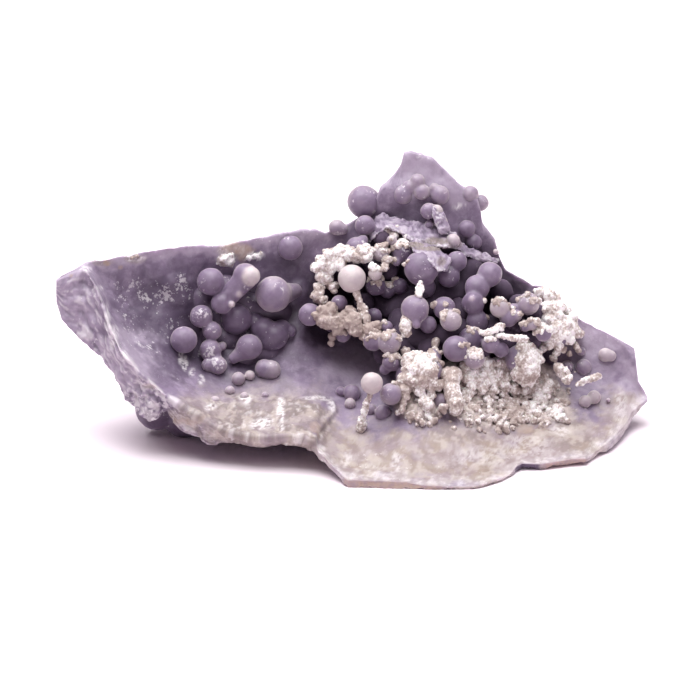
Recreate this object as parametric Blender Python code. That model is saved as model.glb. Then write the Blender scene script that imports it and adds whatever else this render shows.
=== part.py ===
"""A hand specimen of purple botryoidal chalcedony: a broken, hollow plate of rock, high at the back and
open to the front, with round balls of chalcedony and a white granular crust grown in its hollow.

It is one solid. The plate is worked out as a closed shell between a lower and an upper broken edge, the
balls and crumbs overlap it, and all of them are fused into one skin and cut flat where it rests.
"""

import math

import bmesh
import bpy
import numpy as np

MM = 0.001
NAME = "chalcedony"

# Places are given as across (to the right), up and away (from the eye), in mm, in a frame tipped back by
# TILT. It is the frame in which the hollow faces straight out. The table passes through its centre.
TILT = math.radians(20.0)

# Lower outline of the plate, from the left tip to the right tip.
LOW_EDGE = (
    (-48.8, 22.8, -7.4), (-47.7, 19.7, -8.0), (-44.8, 16.8, -8.8), (-41.0, 13.5, -9.2),
    (-39.0, 10.6, -9.5), (-38.2, 8.4, -9.7), (-37.2, 6.7, -9.8), (-35.4, 5.7, -10.0),
    (-34.6, 4.2, -10.3), (-33.3, 3.3, -10.5), (-32.0, 3.7, -10.5), (-31.3, 5.0, -10.5),
    (-29.9, 5.0, -10.7), (-29.0, 3.7, -10.9), (-28.2, 2.3, -11.1), (-27.0, 1.4, -11.3),
    (-24.5, 0.7, -11.7), (-23.7, -0.3, -11.8), (-22.8, -0.9, -11.9), (-21.4, 0.0, -12.2),
    (-18.0, 0.1, -12.9), (-17.1, -0.4, -13.1), (-15.3, -0.8, -13.5), (-13.8, -0.7, -13.8),
    (-11.2, -0.2, -14.4), (-7.7, -0.7, -15.4), (-5.9, -1.6, -16.0), (-5.2, -2.9, -16.9),
    (-4.2, -3.6, -17.5), (-3.4, -4.6, -18.2), (-2.5, -5.4, -18.9), (-1.5, -6.3, -19.8),
    (-1.0, -7.2, -20.7), (-0.3, -7.6, -21.2), (5.5, -7.8, -21.7), (13.3, -8.0, -22.2),
    (16.0, -8.0, -22.2), (20.8, -7.8, -21.9), (22.5, -7.4, -20.8), (25.0, -6.6, -18.6),
    (26.7, -5.8, -16.4), (27.6, -5.0, -14.4), (28.5, -4.5, -13.3), (31.7, -4.6, -13.6),
    (34.2, -4.2, -12.8), (36.7, -3.8, -11.9), (39.2, -3.7, -11.6), (40.2, -2.9, -9.4),
    (41.7, -2.0, -7.2), (43.3, -1.4, -6.0), (45.0, 0.2, -2.2), (46.2, 1.9, 0.9), (47.2, 3.6, 3.0),
    (48.4, 5.1, 4.0), (49.7, 6.5, 4.6),
)

# Lip of the hollow: the inner border of the broken face along the lower outline.
LIP = (
    (-48.8, 26.3, -8.3), (-46.0, 27.8, -8.4), (-44.0, 28.3, -8.5), (-42.5, 26.0, -9.6),
    (-40.7, 21.5, -10.8), (-40.1, 19.0, -11.2), (-39.0, 16.7, -11.6), (-38.0, 14.7, -12.0),
    (-34.8, 11.0, -12.6), (-30.8, 7.6, -13.1), (-28.8, 6.2, -13.3), (-27.0, 4.8, -13.5),
    (-25.2, 3.9, -13.7), (-24.0, 3.0, -13.9), (-22.2, 2.1, -14.2), (-20.5, 1.3, -14.5),
    (-17.7, 0.7, -15.0), (-15.3, 0.3, -15.4),
    (-10.0, 0.6, -16.2), (-7.7, 0.3, -16.6), (-5.9, -0.5, -17.0), (-5.2, -1.9, -17.7),
    (-4.2, -2.8, -18.4), (-3.4, -3.8, -19.0), (-2.5, -4.6, -19.7), (-1.5, -5.6, -20.7),
    (-0.3, -6.6, -21.5), (5.5, -6.7, -21.7), (9.2, -6.8, -21.8), (12.0, -7.4, -22.3),
    (16.0, -7.6, -22.5), (20.8, -7.5, -22.3), (22.5, -7.1, -21.2), (25.0, -6.3, -19.0),
    (26.7, -5.4, -16.9), (27.6, -4.3, -15.0), (28.5, -3.8, -14.1), (31.7, -3.9, -14.3),
    (34.2, -3.5, -13.5), (36.7, -3.1, -12.5), (39.2, -3.1, -12.2), (40.2, -2.3, -10.0),
    (41.7, -1.2, -7.8), (43.3, -0.3, -6.2), (45.0, 1.4, -2.6), (46.2, 3.1, 0.5), (47.2, 4.7, 2.7),
    (48.4, 5.9, 3.8), (49.7, 6.8, 4.5),
)

# Upper outline, over the peak to the right tip.
TOP_EDGE = (
    (-48.8, 26.6, -8.1), (-48.0, 27.3, -7.6), (-45.7, 28.5, -6.6), (-44.0, 29.5, -5.6),
    (-39.2, 30.3, -3.6), (-35.0, 31.2, -1.8), (-29.7, 32.0, -0.4), (-25.0, 32.5, 0.9),
    (-21.5, 32.5, 1.8), (-8.3, 35.2, 4.7), (-5.7, 35.2, 5.3), (-4.2, 34.6, 5.8), (0.0, 36.3, 7.0),
    (2.5, 38.0, 7.2), (4.3, 40.0, 6.8), (5.0, 42.3, 6.4), (6.3, 43.3, 6.0), (7.7, 44.8, 5.6),
    (8.5, 46.0, 5.3), (9.0, 48.0, 5.0), (10.2, 48.3, 4.8), (13.8, 47.2, 5.2), (15.5, 45.5, 5.6),
    (18.0, 43.0, 6.2), (21.0, 41.3, 6.8), (21.7, 38.8, 7.2), (22.1, 36.3, 7.5), (24.2, 33.7, 7.8),
    (25.0, 30.5, 8.0), (26.0, 28.5, 7.8), (28.2, 27.3, 7.4), (30.5, 25.8, 7.1), (32.3, 25.7, 6.8),
    (35.0, 24.0, 6.6), (36.7, 21.2, 6.5), (39.2, 19.7, 6.4), (42.0, 18.3, 6.2), (45.0, 16.8, 5.8),
    (47.5, 15.3, 5.4), (47.8, 13.2, 5.2), (48.2, 9.8, 4.9), (49.7, 7.1, 4.6),
)

# How far the hollow sinks behind a straight line from lip to top edge, and the rind's bulge behind that.
HOLLOW_DEPTH = (
    (-48.8, 0.2), (-44.0, 1.5), (-40.0, 4.0), (-33.0, 8.0), (-24.0, 10.5), (-8.0, 11.5), (5.0, 12.0),
    (20.0, 12.0), (32.0, 9.0), (40.0, 6.0), (46.0, 3.0), (49.7, 0.3),
)
RIND_BULGE = (
    (-48.8, 1.5), (-40.0, 4.2), (-30.0, 7.0), (-22.0, 9.5), (-12.0, 10.5), (5.0, 9.0), (22.0, 8.5),
    (36.0, 6.0), (44.0, 4.0), (49.7, 1.0),
)
HOLLOW_BIAS = 0.85

# The hollow follows its outlines averaged over EASE mm, and is drawn onto the true ones within DRAWN mm.
EASE = 2.4
DRAWN = 2.2
EASE_REACH = 2.0
EASE_SAMPLES = 17
RIND_BIAS = 0.62
TOP_THICK = 3.4
TOP_DROP = 0.7
TIP_THICK = 1.0
TIP_LENGTH = 7.0

# Low domes all over the rind, which fade out towards its edges.
DOME_COUNT = 120
DOME_RADIUS = (4.0, 7.5)
DOME_HEIGHT = (0.7, 1.7)
DOME_SEED = 7
DOME_FADE = 0.08

# Grid of the plate.
COLUMN_STEP = 0.75
BAND_ROWS = 6
FACE_ROWS = 46
RIND_ROWS = 46

# Balls on the wall of the hollow: across, up, how far the centre stands proud of the wall, radius.
LEFT_HOLLOW = (
    (-12.8, 24.3, 4.2, 3.0), (-17.4, 27.4, 4.0, 2.1), (-16.5, 27.3, 5.6, 1.55), (-21.4, 22.8, 4.2, 1.75),
    (-18.6, 24.4, 5.5, 0.5), (-19.7, 22.6, 5.8, 0.5), (-19.0, 20.2, 2.2, 2.6), (-15.8, 19.8, 1.5, 1.5),
    (-9.9, 18.0, 1.6, 0.8), (-14.3, 18.2, 1.9, 2.2), (-12.6, 17.4, 1.7, 2.3), (-11.5, 18.4, 1.2, 1.7),
    (-13.5, 16.6, 1.5, 1.8), (-14.3, 11.9, 1.1, 1.6), (-13.1, 11.7, 1.2, 1.55), (-16.8, 15.5, 3.2, 2.15),
    (-27.7, 16.7, 2.8, 2.25), (-24.8, 20.6, 3.8, 1.9), (-23.0, 18.2, 3.6, 1.6), (-23.3, 15.0, 2.2, 1.8),
    (-21.4, 15.6, 2.4, 0.6), (-22.0, 12.4, 1.6, 1.5), (-23.6, 12.5, 1.0, 1.1), (-23.2, 26.4, 3.0, 2.3),
    (-18.6, 10.2, 1.0, 1.1), (-16.7, 10.8, 1.0, 0.8), (-14.1, 7.4, 0.2, 0.6), (-20.0, 8.2, 0.3, 0.8),
    (-17.6, 7.2, 0.2, 0.75), (-22.4, 6.5, 0.2, 0.85), (-10.0, 32.0, 0.9, 2.1), (-21.3, 15.7, 2.0, 0.65),
    (-12.0, 24.2, 3.6, 2.2), (-11.1, 24.4, 2.6, 1.87), (-10.1, 24.7, 1.6, 1.53), (-9.2, 24.9, 0.6, 1.2),
    (-17.6, 26.8, 4.0, 1.9), (-18.8, 25.5, 4.0, 1.77), (-20.0, 24.2, 4.0, 1.63), (-21.2, 22.9, 4.0, 1.5),
    (-17.0, 15.2, 3.0, 1.7), (-17.8, 14.7, 2.5, 1.44), (-18.6, 14.1, 2.1, 1.16), (-19.4, 13.6, 1.6, 0.9),
    (-23.3, 15.0, 2.0, 1.2), (-22.9, 14.2, 1.8, 1.17), (-22.4, 13.4, 1.6, 1.13), (-22.0, 12.6, 1.4, 1.1),
)
HIGH_WALL = (
    (-2.2, 35.5, 0.5, 1.35), (-1.2, 35.2, 1.0, 0.85), (2.5, 35.8, 2.6, 1.7), (2.3, 39.8, -0.4, 2.8),
    (8.8, 41.0, 1.2, 1.65), (9.9, 42.2, 1.0, 1.2), (11.3, 43.2, 1.2, 1.2), (12.0, 41.4, 1.7, 1.3),
    (14.0, 42.1, 1.2, 0.75), (15.0, 40.9, 1.5, 1.6), (13.1, 38.2, 2.2, 1.35), (14.6, 38.3, 2.2, 0.95),
    (15.2, 36.4, 2.0, 1.1), (13.2, 35.9, 1.6, 0.75), (17.2, 33.2, 3.4, 1.2), (20.1, 41.1, 0.5, 1.15),
    (21.8, 39.8, 0.5, 1.2), (19.5, 35.3, 1.3, 1.45), (20.7, 33.1, 0.4, 1.2), (24.9, 30.9, 0.5, 0.7),
    (3.4, 40.4, -0.6, 2.2), (4.1, 40.7, -0.9, 2.07), (4.7, 40.9, -1.1, 1.93), (5.4, 41.2, -1.4, 1.8),
    (9.2, 41.6, 0.3, 1.1), (11.0, 41.4, 0.3, 1.1), (13.0, 41.2, 0.3, 1.1), (14.8, 41.0, 0.3, 1.1),
)
FLOOR = (
    (0.3, 7.9, 1.0, 1.4), (0.0, 6.1, 0.9, 0.9), (-1.6, 8.1, 0.6, 0.8), (5.5, 4.5, 0.2, 1.4),
    (3.5, 5.0, 0.1, 1.0), (36.3, 12.3, 0.7, 1.0), (39.0, 12.2, 0.3, 1.3), (38.6, 14.8, 0.5, 0.75),
    (39.2, 6.4, 0.6, 1.0), (40.7, 7.1, 0.6, 1.1), (43.1, 6.6, 0.2, 0.35), (42.6, 14.2, 0.3, 1.15),
    (43.6, 14.0, 0.2, 0.9),
)

# Low domes of the wall: across, up, half width, height.
SWELLINGS = (
    (-28.4, 25.0, 3.4, 1.3), (-31.6, 20.4, 5.0, 1.0), (-30.4, 27.4, 3.8, 0.8), (-8.4, 24.8, 2.4, 1.0),
    (-26.6, 22.4, 3.0, 0.7), (5.8, 40.8, 4.2, 1.5), (9.0, 41.4, 3.4, 0.9), (12.0, 42.0, 3.8, 0.8),
    (15.2, 41.2, 3.0, 0.7), (33.0, 11.0, 4.0, 0.6), (-34.6, 14.6, 4.0, 0.6), (20.8, 40.4, 2.4, 0.5),
)

# Rough pale ledge with its arm, and the slab below it: across, up of the top edge, then of the lower
# edge, how far both stand proud of the wall, and half the thickness.
LEDGE = (
    (3.0, 36.0, 3.6, 34.4, 1.4, 2.2, 0.7), (4.2, 37.2, 5.0, 33.9, 1.8, 3.0, 0.8),
    (5.2, 38.0, 6.9, 34.1, 2.0, 3.2, 0.8), (6.8, 37.2, 8.0, 34.4, 2.0, 3.0, 0.7),
    (9.0, 36.8, 9.4, 33.5, 2.0, 3.4, 0.7), (11.4, 36.3, 10.9, 32.6, 2.2, 3.9, 0.8),
    (13.3, 35.9, 13.0, 31.9, 2.2, 4.2, 0.8), (15.0, 35.7, 15.0, 31.8, 2.2, 4.2, 0.9),
    (16.4, 35.0, 16.4, 31.9, 2.2, 3.9, 0.9), (17.8, 34.2, 17.8, 31.7, 2.4, 3.2, 0.9),
    (18.8, 32.5, 18.8, 31.0, 2.2, 2.6, 0.7), (20.7, 31.5, 20.7, 30.2, 1.8, 2.2, 0.7),
    (22.8, 30.4, 22.8, 29.4, 1.4, 1.8, 0.7), (25.0, 30.7, 25.0, 29.8, 0.3, 0.7, 0.7),
)
SLAB = (
    (10.0, 32.1, 10.2, 31.5, 6.0, 6.0, 0.6), (11.2, 32.2, 11.3, 30.7, 6.8, 7.4, 0.6),
    (13.0, 32.1, 13.3, 29.7, 7.2, 8.6, 0.6), (14.7, 31.2, 14.8, 28.4, 7.4, 8.6, 0.6),
    (16.0, 30.4, 15.9, 28.2, 7.4, 7.8, 0.6), (16.5, 29.6, 16.4, 28.8, 7.2, 7.4, 0.6),
)
SHEET_AROUND = 24
SHEET_STEP = 0.6

# Inside of the heap, behind the balls that show: across, up, away, radius.
HEAP_CORE = (
    (-2.5, 20.3, 4.6, 3.6), (0.0, 26.7, 6.4, 5.2), (5.8, 28.3, 6.6, 5.2), (11.0, 28.7, 8.0, 5.5),
    (15.8, 28.7, 9.6, 5.0), (21.3, 25.0, 8.0, 5.0), (4.6, 16.4, 4.0, 3.8), (6.4, 21.6, 7.4, 4.6),
    (11.2, 20.3, 4.2, 4.8), (16.7, 18.3, 4.2, 5.4), (21.7, 18.3, 4.6, 5.4), (28.3, 19.8, 5.2, 5.0),
    (8.4, 13.2, 2.2, 3.8), (11.2, 10.8, -1.0, 4.8), (17.0, 9.6, -0.2, 4.0), (29.4, 12.8, 2.2, 4.6),
    (34.0, 18.6, 4.4, 4.2), (22.4, 13.6, 1.4, 4.6), (33.4, 21.4, 5.8, 3.0), (13.6, 6.2, -4.4, 3.2),
)

# Balls of the heap in the middle, each with one more ball behind it: across, up, away, radius.
HEAP = (
    (0.3, 26.9, -2.2, 2.33), (4.2, 27.7, -1.2, 1.15), (5.1, 31.2, 1.2, 1.5), (1.1, 32.0, 3.2, 1.85),
    (2.2, 33.4, 3.6, 0.8), (7.0, 33.3, 2.0, 0.85), (8.7, 31.4, 2.6, 1.8), (7.7, 29.7, 1.6, 0.7),
    (4.3, 25.7, 1.6, 1.67), (6.2, 24.9, 3.2, 1.3), (-1.8, 22.8, -0.6, 1.35), (-6.7, 20.9, -0.2, 1.9),
    (-1.2, 17.7, -0.5, 1.4), (4.0, 20.7, 0.6, 1.3), (3.9, 16.5, -3.5, 1.67), (6.6, 16.3, -4.8, 1.95),
    (6.1, 18.8, -2.5, 1.05), (6.9, 13.0, -5.0, 1.5), (5.8, 11.8, -4.0, 0.9), (10.8, 21.8, -3.6, 2.35),
    (11.0, 19.3, -4.8, 0.7), (13.0, 19.2, -2.2, 1.45), (11.9, 28.6, -0.4, 2.9), (12.6, 25.4, 1.2, 1.7),
    (8.3, 25.7, 3.6, 1.35), (16.5, 27.3, 1.4, 1.85), (17.8, 29.8, 1.8, 1.7), (15.7, 22.0, -2.0, 1.88),
    (16.8, 19.9, -4.0, 1.8), (21.2, 19.8, -0.8, 1.83), (20.5, 22.8, -1.6, 1.88), (20.3, 23.5, -3.4, 0.35),
    (21.2, 25.4, 0.0, 2.1), (23.3, 27.6, 0.8, 2.1), (24.9, 22.0, -2.6, 1.62), (27.2, 21.8, -1.6, 0.95),
    (26.4, 20.2, -2.2, 1.4), (27.8, 20.7, -2.6, 0.8), (29.7, 22.7, -1.2, 1.87), (29.1, 18.9, -2.8, 0.85),
    (30.5, 19.3, -3.0, 1.0), (32.2, 17.8, -2.6, 1.4), (17.6, 15.2, -5.2, 2.2), (20.0, 16.8, -2.6, 2.0),
    (23.4, 16.0, -4.0, 1.5), (25.2, 15.0, -3.6, 1.25), (20.7, 13.5, -5.2, 1.7), (14.0, 14.0, -4.6, 1.2),
    (6.8, 7.7, -9.0, 1.83), (3.6, 9.5, -11.0, 1.83), (12.6, 11.6, -5.4, 2.9), (9.4, 10.6, -4.6, 1.8),
    (24.4, 12.6, -2.6, 2.0), (28.4, 13.4, -1.0, 2.6), (15.0, 6.6, -6.6, 1.3), (33.4, 21.2, 2.6, 2.0),
    (35.0, 17.6, 2.8, 2.0), (7.2, 22.0, 3.0, 1.6), (8.6, 17.0, -1.0, 1.7), (-2.8, 19.6, 0.6, 1.6),
    (17.0, 24.6, 2.8, 1.7), (23.6, 19.0, 0.4, 1.7), (2.2, 23.0, 1.8, 1.3), (5.0, 22.8, 4.8, 1.9),
    (8.6, 19.8, 0.6, 1.8), (11.4, 16.6, -1.0, 2.2), (14.2, 17.2, -1.6, 1.7), (13.4, 22.6, 1.6, 2.0),
    (18.4, 21.4, 0.6, 1.9), (14.2, 25.0, 2.6, 1.9), (19.0, 26.6, 4.6, 1.8), (9.4, 24.0, 3.6, 1.7),
    (18.4, 18.2, -1.6, 1.6), (22.6, 17.8, -1.4, 1.5), (25.4, 18.0, -0.6, 1.6), (4.6, 18.6, -0.8, 1.5),
    (2.0, 20.6, -0.6, 1.4), (27.6, 19.0, -0.4, 1.5), (3.6, 29.8, 2.8, 1.7), (6.4, 28.4, 2.2, 1.6),
    (15.0, 29.0, 3.8, 1.9), (20.4, 28.8, 4.8, 1.8), (25.2, 25.0, 3.8, 1.8), (28.4, 22.6, 1.4, 1.6),
    (31.2, 21.0, 0.4, 1.7), (30.2, 16.8, -1.4, 1.6), (26.4, 16.4, -2.2, 1.3), (21.8, 15.0, -3.2, 1.5),
    (16.2, 17.4, -3.0, 1.3), (13.2, 14.8, -3.4, 1.5), (9.6, 13.6, -3.4, 1.5), (8.4, 15.0, -2.6, 1.5),
    (5.4, 14.2, -2.4, 1.3),
)
BEHIND_SHARE = 0.85
BEHIND_STEP = 1.1

# Thin stalks, each a chain of points: across, up, away, radius.
STALKS = (
    ((3.5, 8.2, -10.8, 0.8), (3.2, 7.2, -10.4, 0.8), (2.7, 6.0, -10.0, 0.8), (2.4, 4.6, -9.6, 0.8),
     (2.0, 3.2, -9.0, 0.8), (1.8, 1.9, -8.4, 0.8)),
    ((1.0, 25.0, -2.4, 0.8), (1.5, 23.5, -2.3, 0.8), (1.9, 22.2, -2.3, 0.8), (2.4, 21.0, -2.5, 0.8),
     (2.8, 19.8, -2.8, 0.8)),
    ((11.8, 26.3, -3.0, 0.8), (11.6, 25.4, -3.8, 0.8), (11.3, 24.2, -4.4, 0.8)),
    ((9.4, 20.9, -4.0, 0.8), (9.2, 19.7, -4.6, 0.8), (9.1, 18.6, -4.8, 0.85), (9.6, 17.7, -4.6, 0.8)),
    ((3.8, 29.4, -1.6, 0.8), (3.8, 28.8, -1.9, 0.8)),
    ((24.5, 17.8, -4.4, 0.8), (27.0, 17.2, -4.8, 0.8), (29.2, 17.0, -5.0, 0.8)),
    ((22.4, 17.6, -4.6, 0.8), (23.6, 18.1, -4.6, 0.8), (25.2, 18.9, -4.4, 0.8)),
    ((34.6, 12.0, 0.4, 0.8), (35.9, 11.0, 0.4, 0.8), (36.3, 10.0, 0.0, 0.8)),
    ((38.0, 9.4, -0.4, 0.8), (39.6, 10.0, -0.2, 0.8), (41.4, 10.6, 0.0, 0.8)),
)
STALK_STEP = 0.4

# White granular crust as lumps: across, up, away, radius.
ARCH = (
    (-5.6, 28.8, 0.0, 0.9), (-4.6, 29.6, 0.2, 1.2), (-3.2, 30.4, 0.4, 1.4), (-1.8, 30.9, 0.4, 1.4),
    (-0.2, 31.0, 0.2, 1.3), (1.0, 30.6, -0.2, 1.1), (2.3, 31.0, -0.4, 1.45), (-3.4, 28.7, 0.2, 1.1),
    (-4.9, 27.4, 0.2, 1.0), (-3.9, 26.9, 0.4, 0.9), (-5.2, 25.2, 0.2, 0.8), (-5.4, 24.0, 0.2, 0.9),
    (-4.6, 23.2, 0.2, 0.8), (-3.0, 25.6, 0.8, 0.8), (-1.6, 29.3, -0.2, 1.0), (5.8, 28.8, -0.2, 0.6),
    (6.2, 30.0, 0.2, 0.6), (5.8, 32.4, 0.8, 0.6),
)
CLUMP = (
    (-5.4, 20.7, -2.0, 0.7), (-4.4, 21.3, -2.0, 1.1), (-3.2, 21.6, -2.0, 1.1), (-4.2, 19.8, -2.0, 1.2),
    (-2.7, 19.8, -2.3, 1.3), (-1.9, 18.6, -2.4, 1.0), (0.4, 19.8, -3.2, 1.5), (0.9, 18.6, -3.3, 1.3),
    (-0.8, 20.6, -2.2, 1.0), (-2.9, 17.2, -1.2, 0.6), (-3.2, 16.2, -0.8, 0.4), (0.0, 21.4, -2.6, 0.8),
    (3.3, 18.5, -3.6, 1.1), (4.5, 18.9, -3.4, 0.8), (2.4, 17.2, -3.2, 0.7), (2.8, 16.2, -3.4, 0.5),
)

# The same, but across, up, proud of the wall, radius.
CRUST_MIDDLE = (
    (9.6, 13.4, 5.8, 1.2), (10.6, 13.3, 7.2, 1.5), (12.0, 12.9, 7.4, 1.6), (11.2, 11.6, 7.6, 1.6),
    (12.8, 11.4, 7.4, 1.6), (10.0, 11.8, 6.8, 1.3), (10.2, 10.2, 6.6, 1.3), (11.8, 10.2, 6.8, 1.3),
    (13.4, 10.0, 6.2, 1.2), (8.9, 10.4, 6.0, 0.9), (8.2, 9.4, 5.6, 0.7), (9.1, 8.4, 5.2, 0.9),
    (9.4, 7.2, 4.4, 0.6), (8.9, 6.2, 3.6, 0.6), (8.6, 5.2, 2.8, 0.6), (7.9, 4.6, 2.0, 0.4),
    (10.4, 8.9, 5.0, 0.8), (11.6, 8.2, 4.8, 0.9), (13.4, 8.9, 5.0, 0.9), (12.2, 6.6, 3.8, 0.9),
    (13.0, 5.8, 3.2, 0.9), (13.6, 7.4, 3.8, 0.7), (14.6, 9.2, 4.6, 1.0), (15.4, 5.4, 3.0, 0.7),
    (11.1, 3.7, 1.4, 0.5), (12.0, 2.9, 1.0, 0.5), (12.9, 4.6, 1.4, 0.6), (13.6, 3.9, 1.0, 0.4),
    (9.4, 14.6, 5.2, 0.8), (14.2, 16.3, 5.0, 0.7), (14.2, 15.0, 5.0, 0.5), (10.0, 3.2, 0.6, 0.35),
    (22.2, 13.4, 4.8, 1.1), (19.0, 12.3, 5.0, 0.9), (21.6, 12.0, 4.6, 1.1), (24.0, 11.6, 3.8, 1.0),
    (32.6, 8.4, 2.4, 0.9), (33.2, 9.3, 2.6, 0.7), (31.0, 9.5, 2.8, 0.9), (30.0, 8.4, 2.6, 0.9),
    (31.4, 8.0, 2.2, 0.9), (32.4, 6.8, 1.8, 0.8), (31.0, 6.4, 1.6, 0.8), (31.2, 5.2, 1.2, 0.6),
    (34.6, 5.2, 1.0, 0.9), (34.2, 4.2, 0.8, 0.8), (35.2, 3.6, 0.8, 0.8), (36.2, 3.2, 0.6, 0.5),
)
COLUMN = (
    (16.4, 10.9, 5.2, 1.1), (17.2, 10.8, 5.2, 1.3), (16.4, 9.6, 4.8, 1.2), (16.6, 8.4, 4.2, 1.2),
    (17.0, 7.2, 3.6, 1.3), (17.6, 6.2, 3.0, 1.3), (17.4, 5.4, 2.4, 1.0),
)
CRUST_RIGHT = (
    (30.5, 16.9, 7.4, 1.0), (29.4, 16.4, 7.6, 0.8), (31.6, 24.6, 4.4, 0.9), (32.6, 25.0, 3.8, 0.7),
    (33.2, 23.9, 4.0, 1.2), (34.3, 23.6, 2.6, 0.8), (32.4, 22.2, 5.0, 0.9), (33.6, 21.8, 5.0, 1.3),
    (31.6, 21.0, 5.4, 0.8), (33.0, 20.2, 5.8, 1.3), (34.4, 20.4, 5.2, 1.3), (35.8, 19.4, 4.8, 1.3),
    (34.2, 18.8, 5.8, 1.4), (36.8, 18.6, 4.2, 1.2), (37.6, 17.8, 3.8, 0.9), (35.4, 17.8, 5.2, 1.3),
    (34.0, 17.2, 5.8, 1.2), (36.6, 16.8, 4.2, 0.9), (33.2, 16.0, 5.8, 1.0), (34.6, 15.8, 5.0, 0.9),
    (32.2, 15.4, 5.8, 0.8), (34.4, 14.6, 4.4, 0.6), (34.0, 13.6, 3.8, 0.6), (37.8, 15.6, 3.2, 0.5),
    (38.2, 14.9, 2.8, 0.4), (35.6, 15.0, 4.0, 0.5), (36.6, 14.4, 3.2, 0.4), (38.6, 17.6, 3.0, 0.5),
    (36.2, 21.6, 3.0, 0.8), (31.2, 19.0, 5.4, 0.6),
    (35.0, 22.2, 4.2, 1.1), (33.8, 19.0, 5.6, 1.4), (37.0, 20.2, 3.6, 1.0),
)
BOULDER = (
    (29.2, 14.8, 8.6, 1.9), (29.2, 13.2, 8.6, 2.4), (28.4, 13.2, 8.4, 1.9), (29.6, 11.8, 8.0, 2.2),
    (28.6, 11.4, 7.8, 1.9), (30.2, 13.6, 8.2, 2.0), (29.4, 10.6, 7.0, 1.7),
)
CRUST_LEAST = 0.7

# Granular floor of the crust: the plate is raised in these ellipses: across, up, half width, half height,
# rise in mm.
BANK = (
    (25.0, 8.4, 9.5, 6.4, 2.4), (20.5, 11.0, 5.5, 4.0, 1.6), (11.5, 7.4, 4.5, 4.6, 1.8),
    (33.0, 6.0, 4.5, 4.0, 0.7),
)

# The left floor lies over the front plate and ends at this broken step: across, up.
STEP_LINE = (
    (-5.9, -2.0), (-5.8, 0.6), (-5.2, 1.4), (-3.8, 2.9), (-2.8, 4.0), (-2.3, 4.8), (-2.7, 6.2),
    (-4.2, 7.2), (-7.0, 7.6),
)
STEP_HEIGHT = 0.9
STEP_BORDER = (-0.2, 0.3)
STEP_FADE = (5.6, 7.8)
BANK_BORDER = (0.55, 1.25)
DOME_POWER = 1.6

# Round swellings of the underside: a row behind and below the front edge, and three at the back.
UNDERSIDE = (
    (-32.0, 5.5, 1.4, 3.9), (-27.4, 4.6, 1.8, 4.3), (-22.4, 4.4, 2.4, 4.6), (-17.6, 4.6, 3.2, 4.8),
    (-12.4, 4.6, 3.8, 5.0), (-7.4, 4.4, 3.6, 5.0), (-13.0, 6.6, 8.0, 5.0), (3.0, 6.8, 8.6, 5.4),
    (20.0, 6.6, 8.4, 5.2),
)

# The fused skin: cell of the remesh, share of its faces kept, and the flat that it rests on.
SKIN_CELL = 0.55
FACES_WANTED = 9400
BASE_HALF = 80.0
BASE_DEEP = 20.0

STONE_COLOUR = (0.27, 0.21, 0.36, 1.0)
STONE_ROUGHNESS = 0.45


def seen(across, up, away):
    """Real place, in mm, of a point of the tipped frame."""
    back = up * math.sin(TILT) + away * math.cos(TILT)
    height = up * math.cos(TILT) - away * math.sin(TILT)
    return np.stack([across, back, height], axis=-1)


def line(points, across, column):
    """Value of one column of a driving outline at each place across."""
    table = np.array(points)
    return np.interp(across, table[:, 0], table[:, column])


def eased(points, across, column):
    """The same line averaged over EASE mm to both sides, by weights of a bell curve."""
    steps = np.linspace(-EASE_REACH, EASE_REACH, EASE_SAMPLES)
    weights = np.exp(-(steps**2))
    table = np.array(points)
    near = np.clip(across[..., None] + steps * EASE, table[0, 0], table[-1, 0])
    return np.interp(near, table[:, 0], table[:, column]) @ weights / weights.sum()


def eased_hollow(across, up):
    """The hollow from the eased lip to the eased top edge: straight, and sunk by a biased sine."""
    lip, top = eased(LIP, across, 1), eased(TOP_EDGE, across, 1)
    share = (up - lip) / (top - lip)
    sunk = line(HOLLOW_DEPTH, across, 1) * np.sin(math.pi * np.clip(share, 0.0, 1.0)**HOLLOW_BIAS)
    return eased(LIP, across, 2) * (1 - share) + eased(TOP_EDGE, across, 2) * share + sunk


def face_away(across, up):
    """How far away the visible face lies: a broken band up to the lip, then the sunken hollow."""
    across, up = np.broadcast_arrays(np.asarray(across, float), up)
    low, lip, top = line(LOW_EDGE, across, 1), line(LIP, across, 1), line(TOP_EDGE, across, 1)
    lip_away = line(LIP, across, 2)
    band = np.clip((up - low) / (lip - low), 0.0, 1.0)
    in_band = line(LOW_EDGE, across, 2) * (1 - band) + lip_away * band
    share = np.clip((up - lip) / (top - lip), 0.0, 1.0)
    to_lip = lip_away - eased_hollow(across, lip)
    to_top = line(TOP_EDGE, across, 2) - eased_hollow(across, top)
    drawn = to_lip * (1 - share) * np.exp(-np.maximum(up - lip, 0.0) / DRAWN)
    drawn += to_top * share * np.exp(-np.maximum(top - up, 0.0) / DRAWN)
    return np.where(up < lip, in_band, eased_hollow(across, up) + drawn)


def soft_step(value, low, high):
    """0 below low, 1 above high, smooth between."""
    share = np.clip((value - low) / (high - low), 0.0, 1.0)
    return share * share * (3 - 2 * share)


def raised(across, up):
    """How far low domes, the granular floor and the overlapping left floor stand out of the face."""
    rise = np.zeros(np.broadcast(across, up).shape)
    for middle, height, half_wide, dome in SWELLINGS:
        reach = np.hypot(across - middle, up - height) / half_wide
        rise = rise + dome * np.clip(1 - reach**2, 0.0, 1.0) ** DOME_POWER
    bank = rise * 0.0
    for middle, height, half_wide, half_high, lift in BANK:
        reach = np.hypot((across - middle) / half_wide, (up - height) / half_high)
        bank = np.maximum(bank, lift * (1 - soft_step(reach, *BANK_BORDER)))
    table = np.array(STEP_LINE)
    past = across - np.interp(up, table[:, 1], table[:, 0])
    step = STEP_HEIGHT * (1 - soft_step(past, *STEP_BORDER)) * (1 - soft_step(up, *STEP_FADE))
    return rise + bank + step


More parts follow.
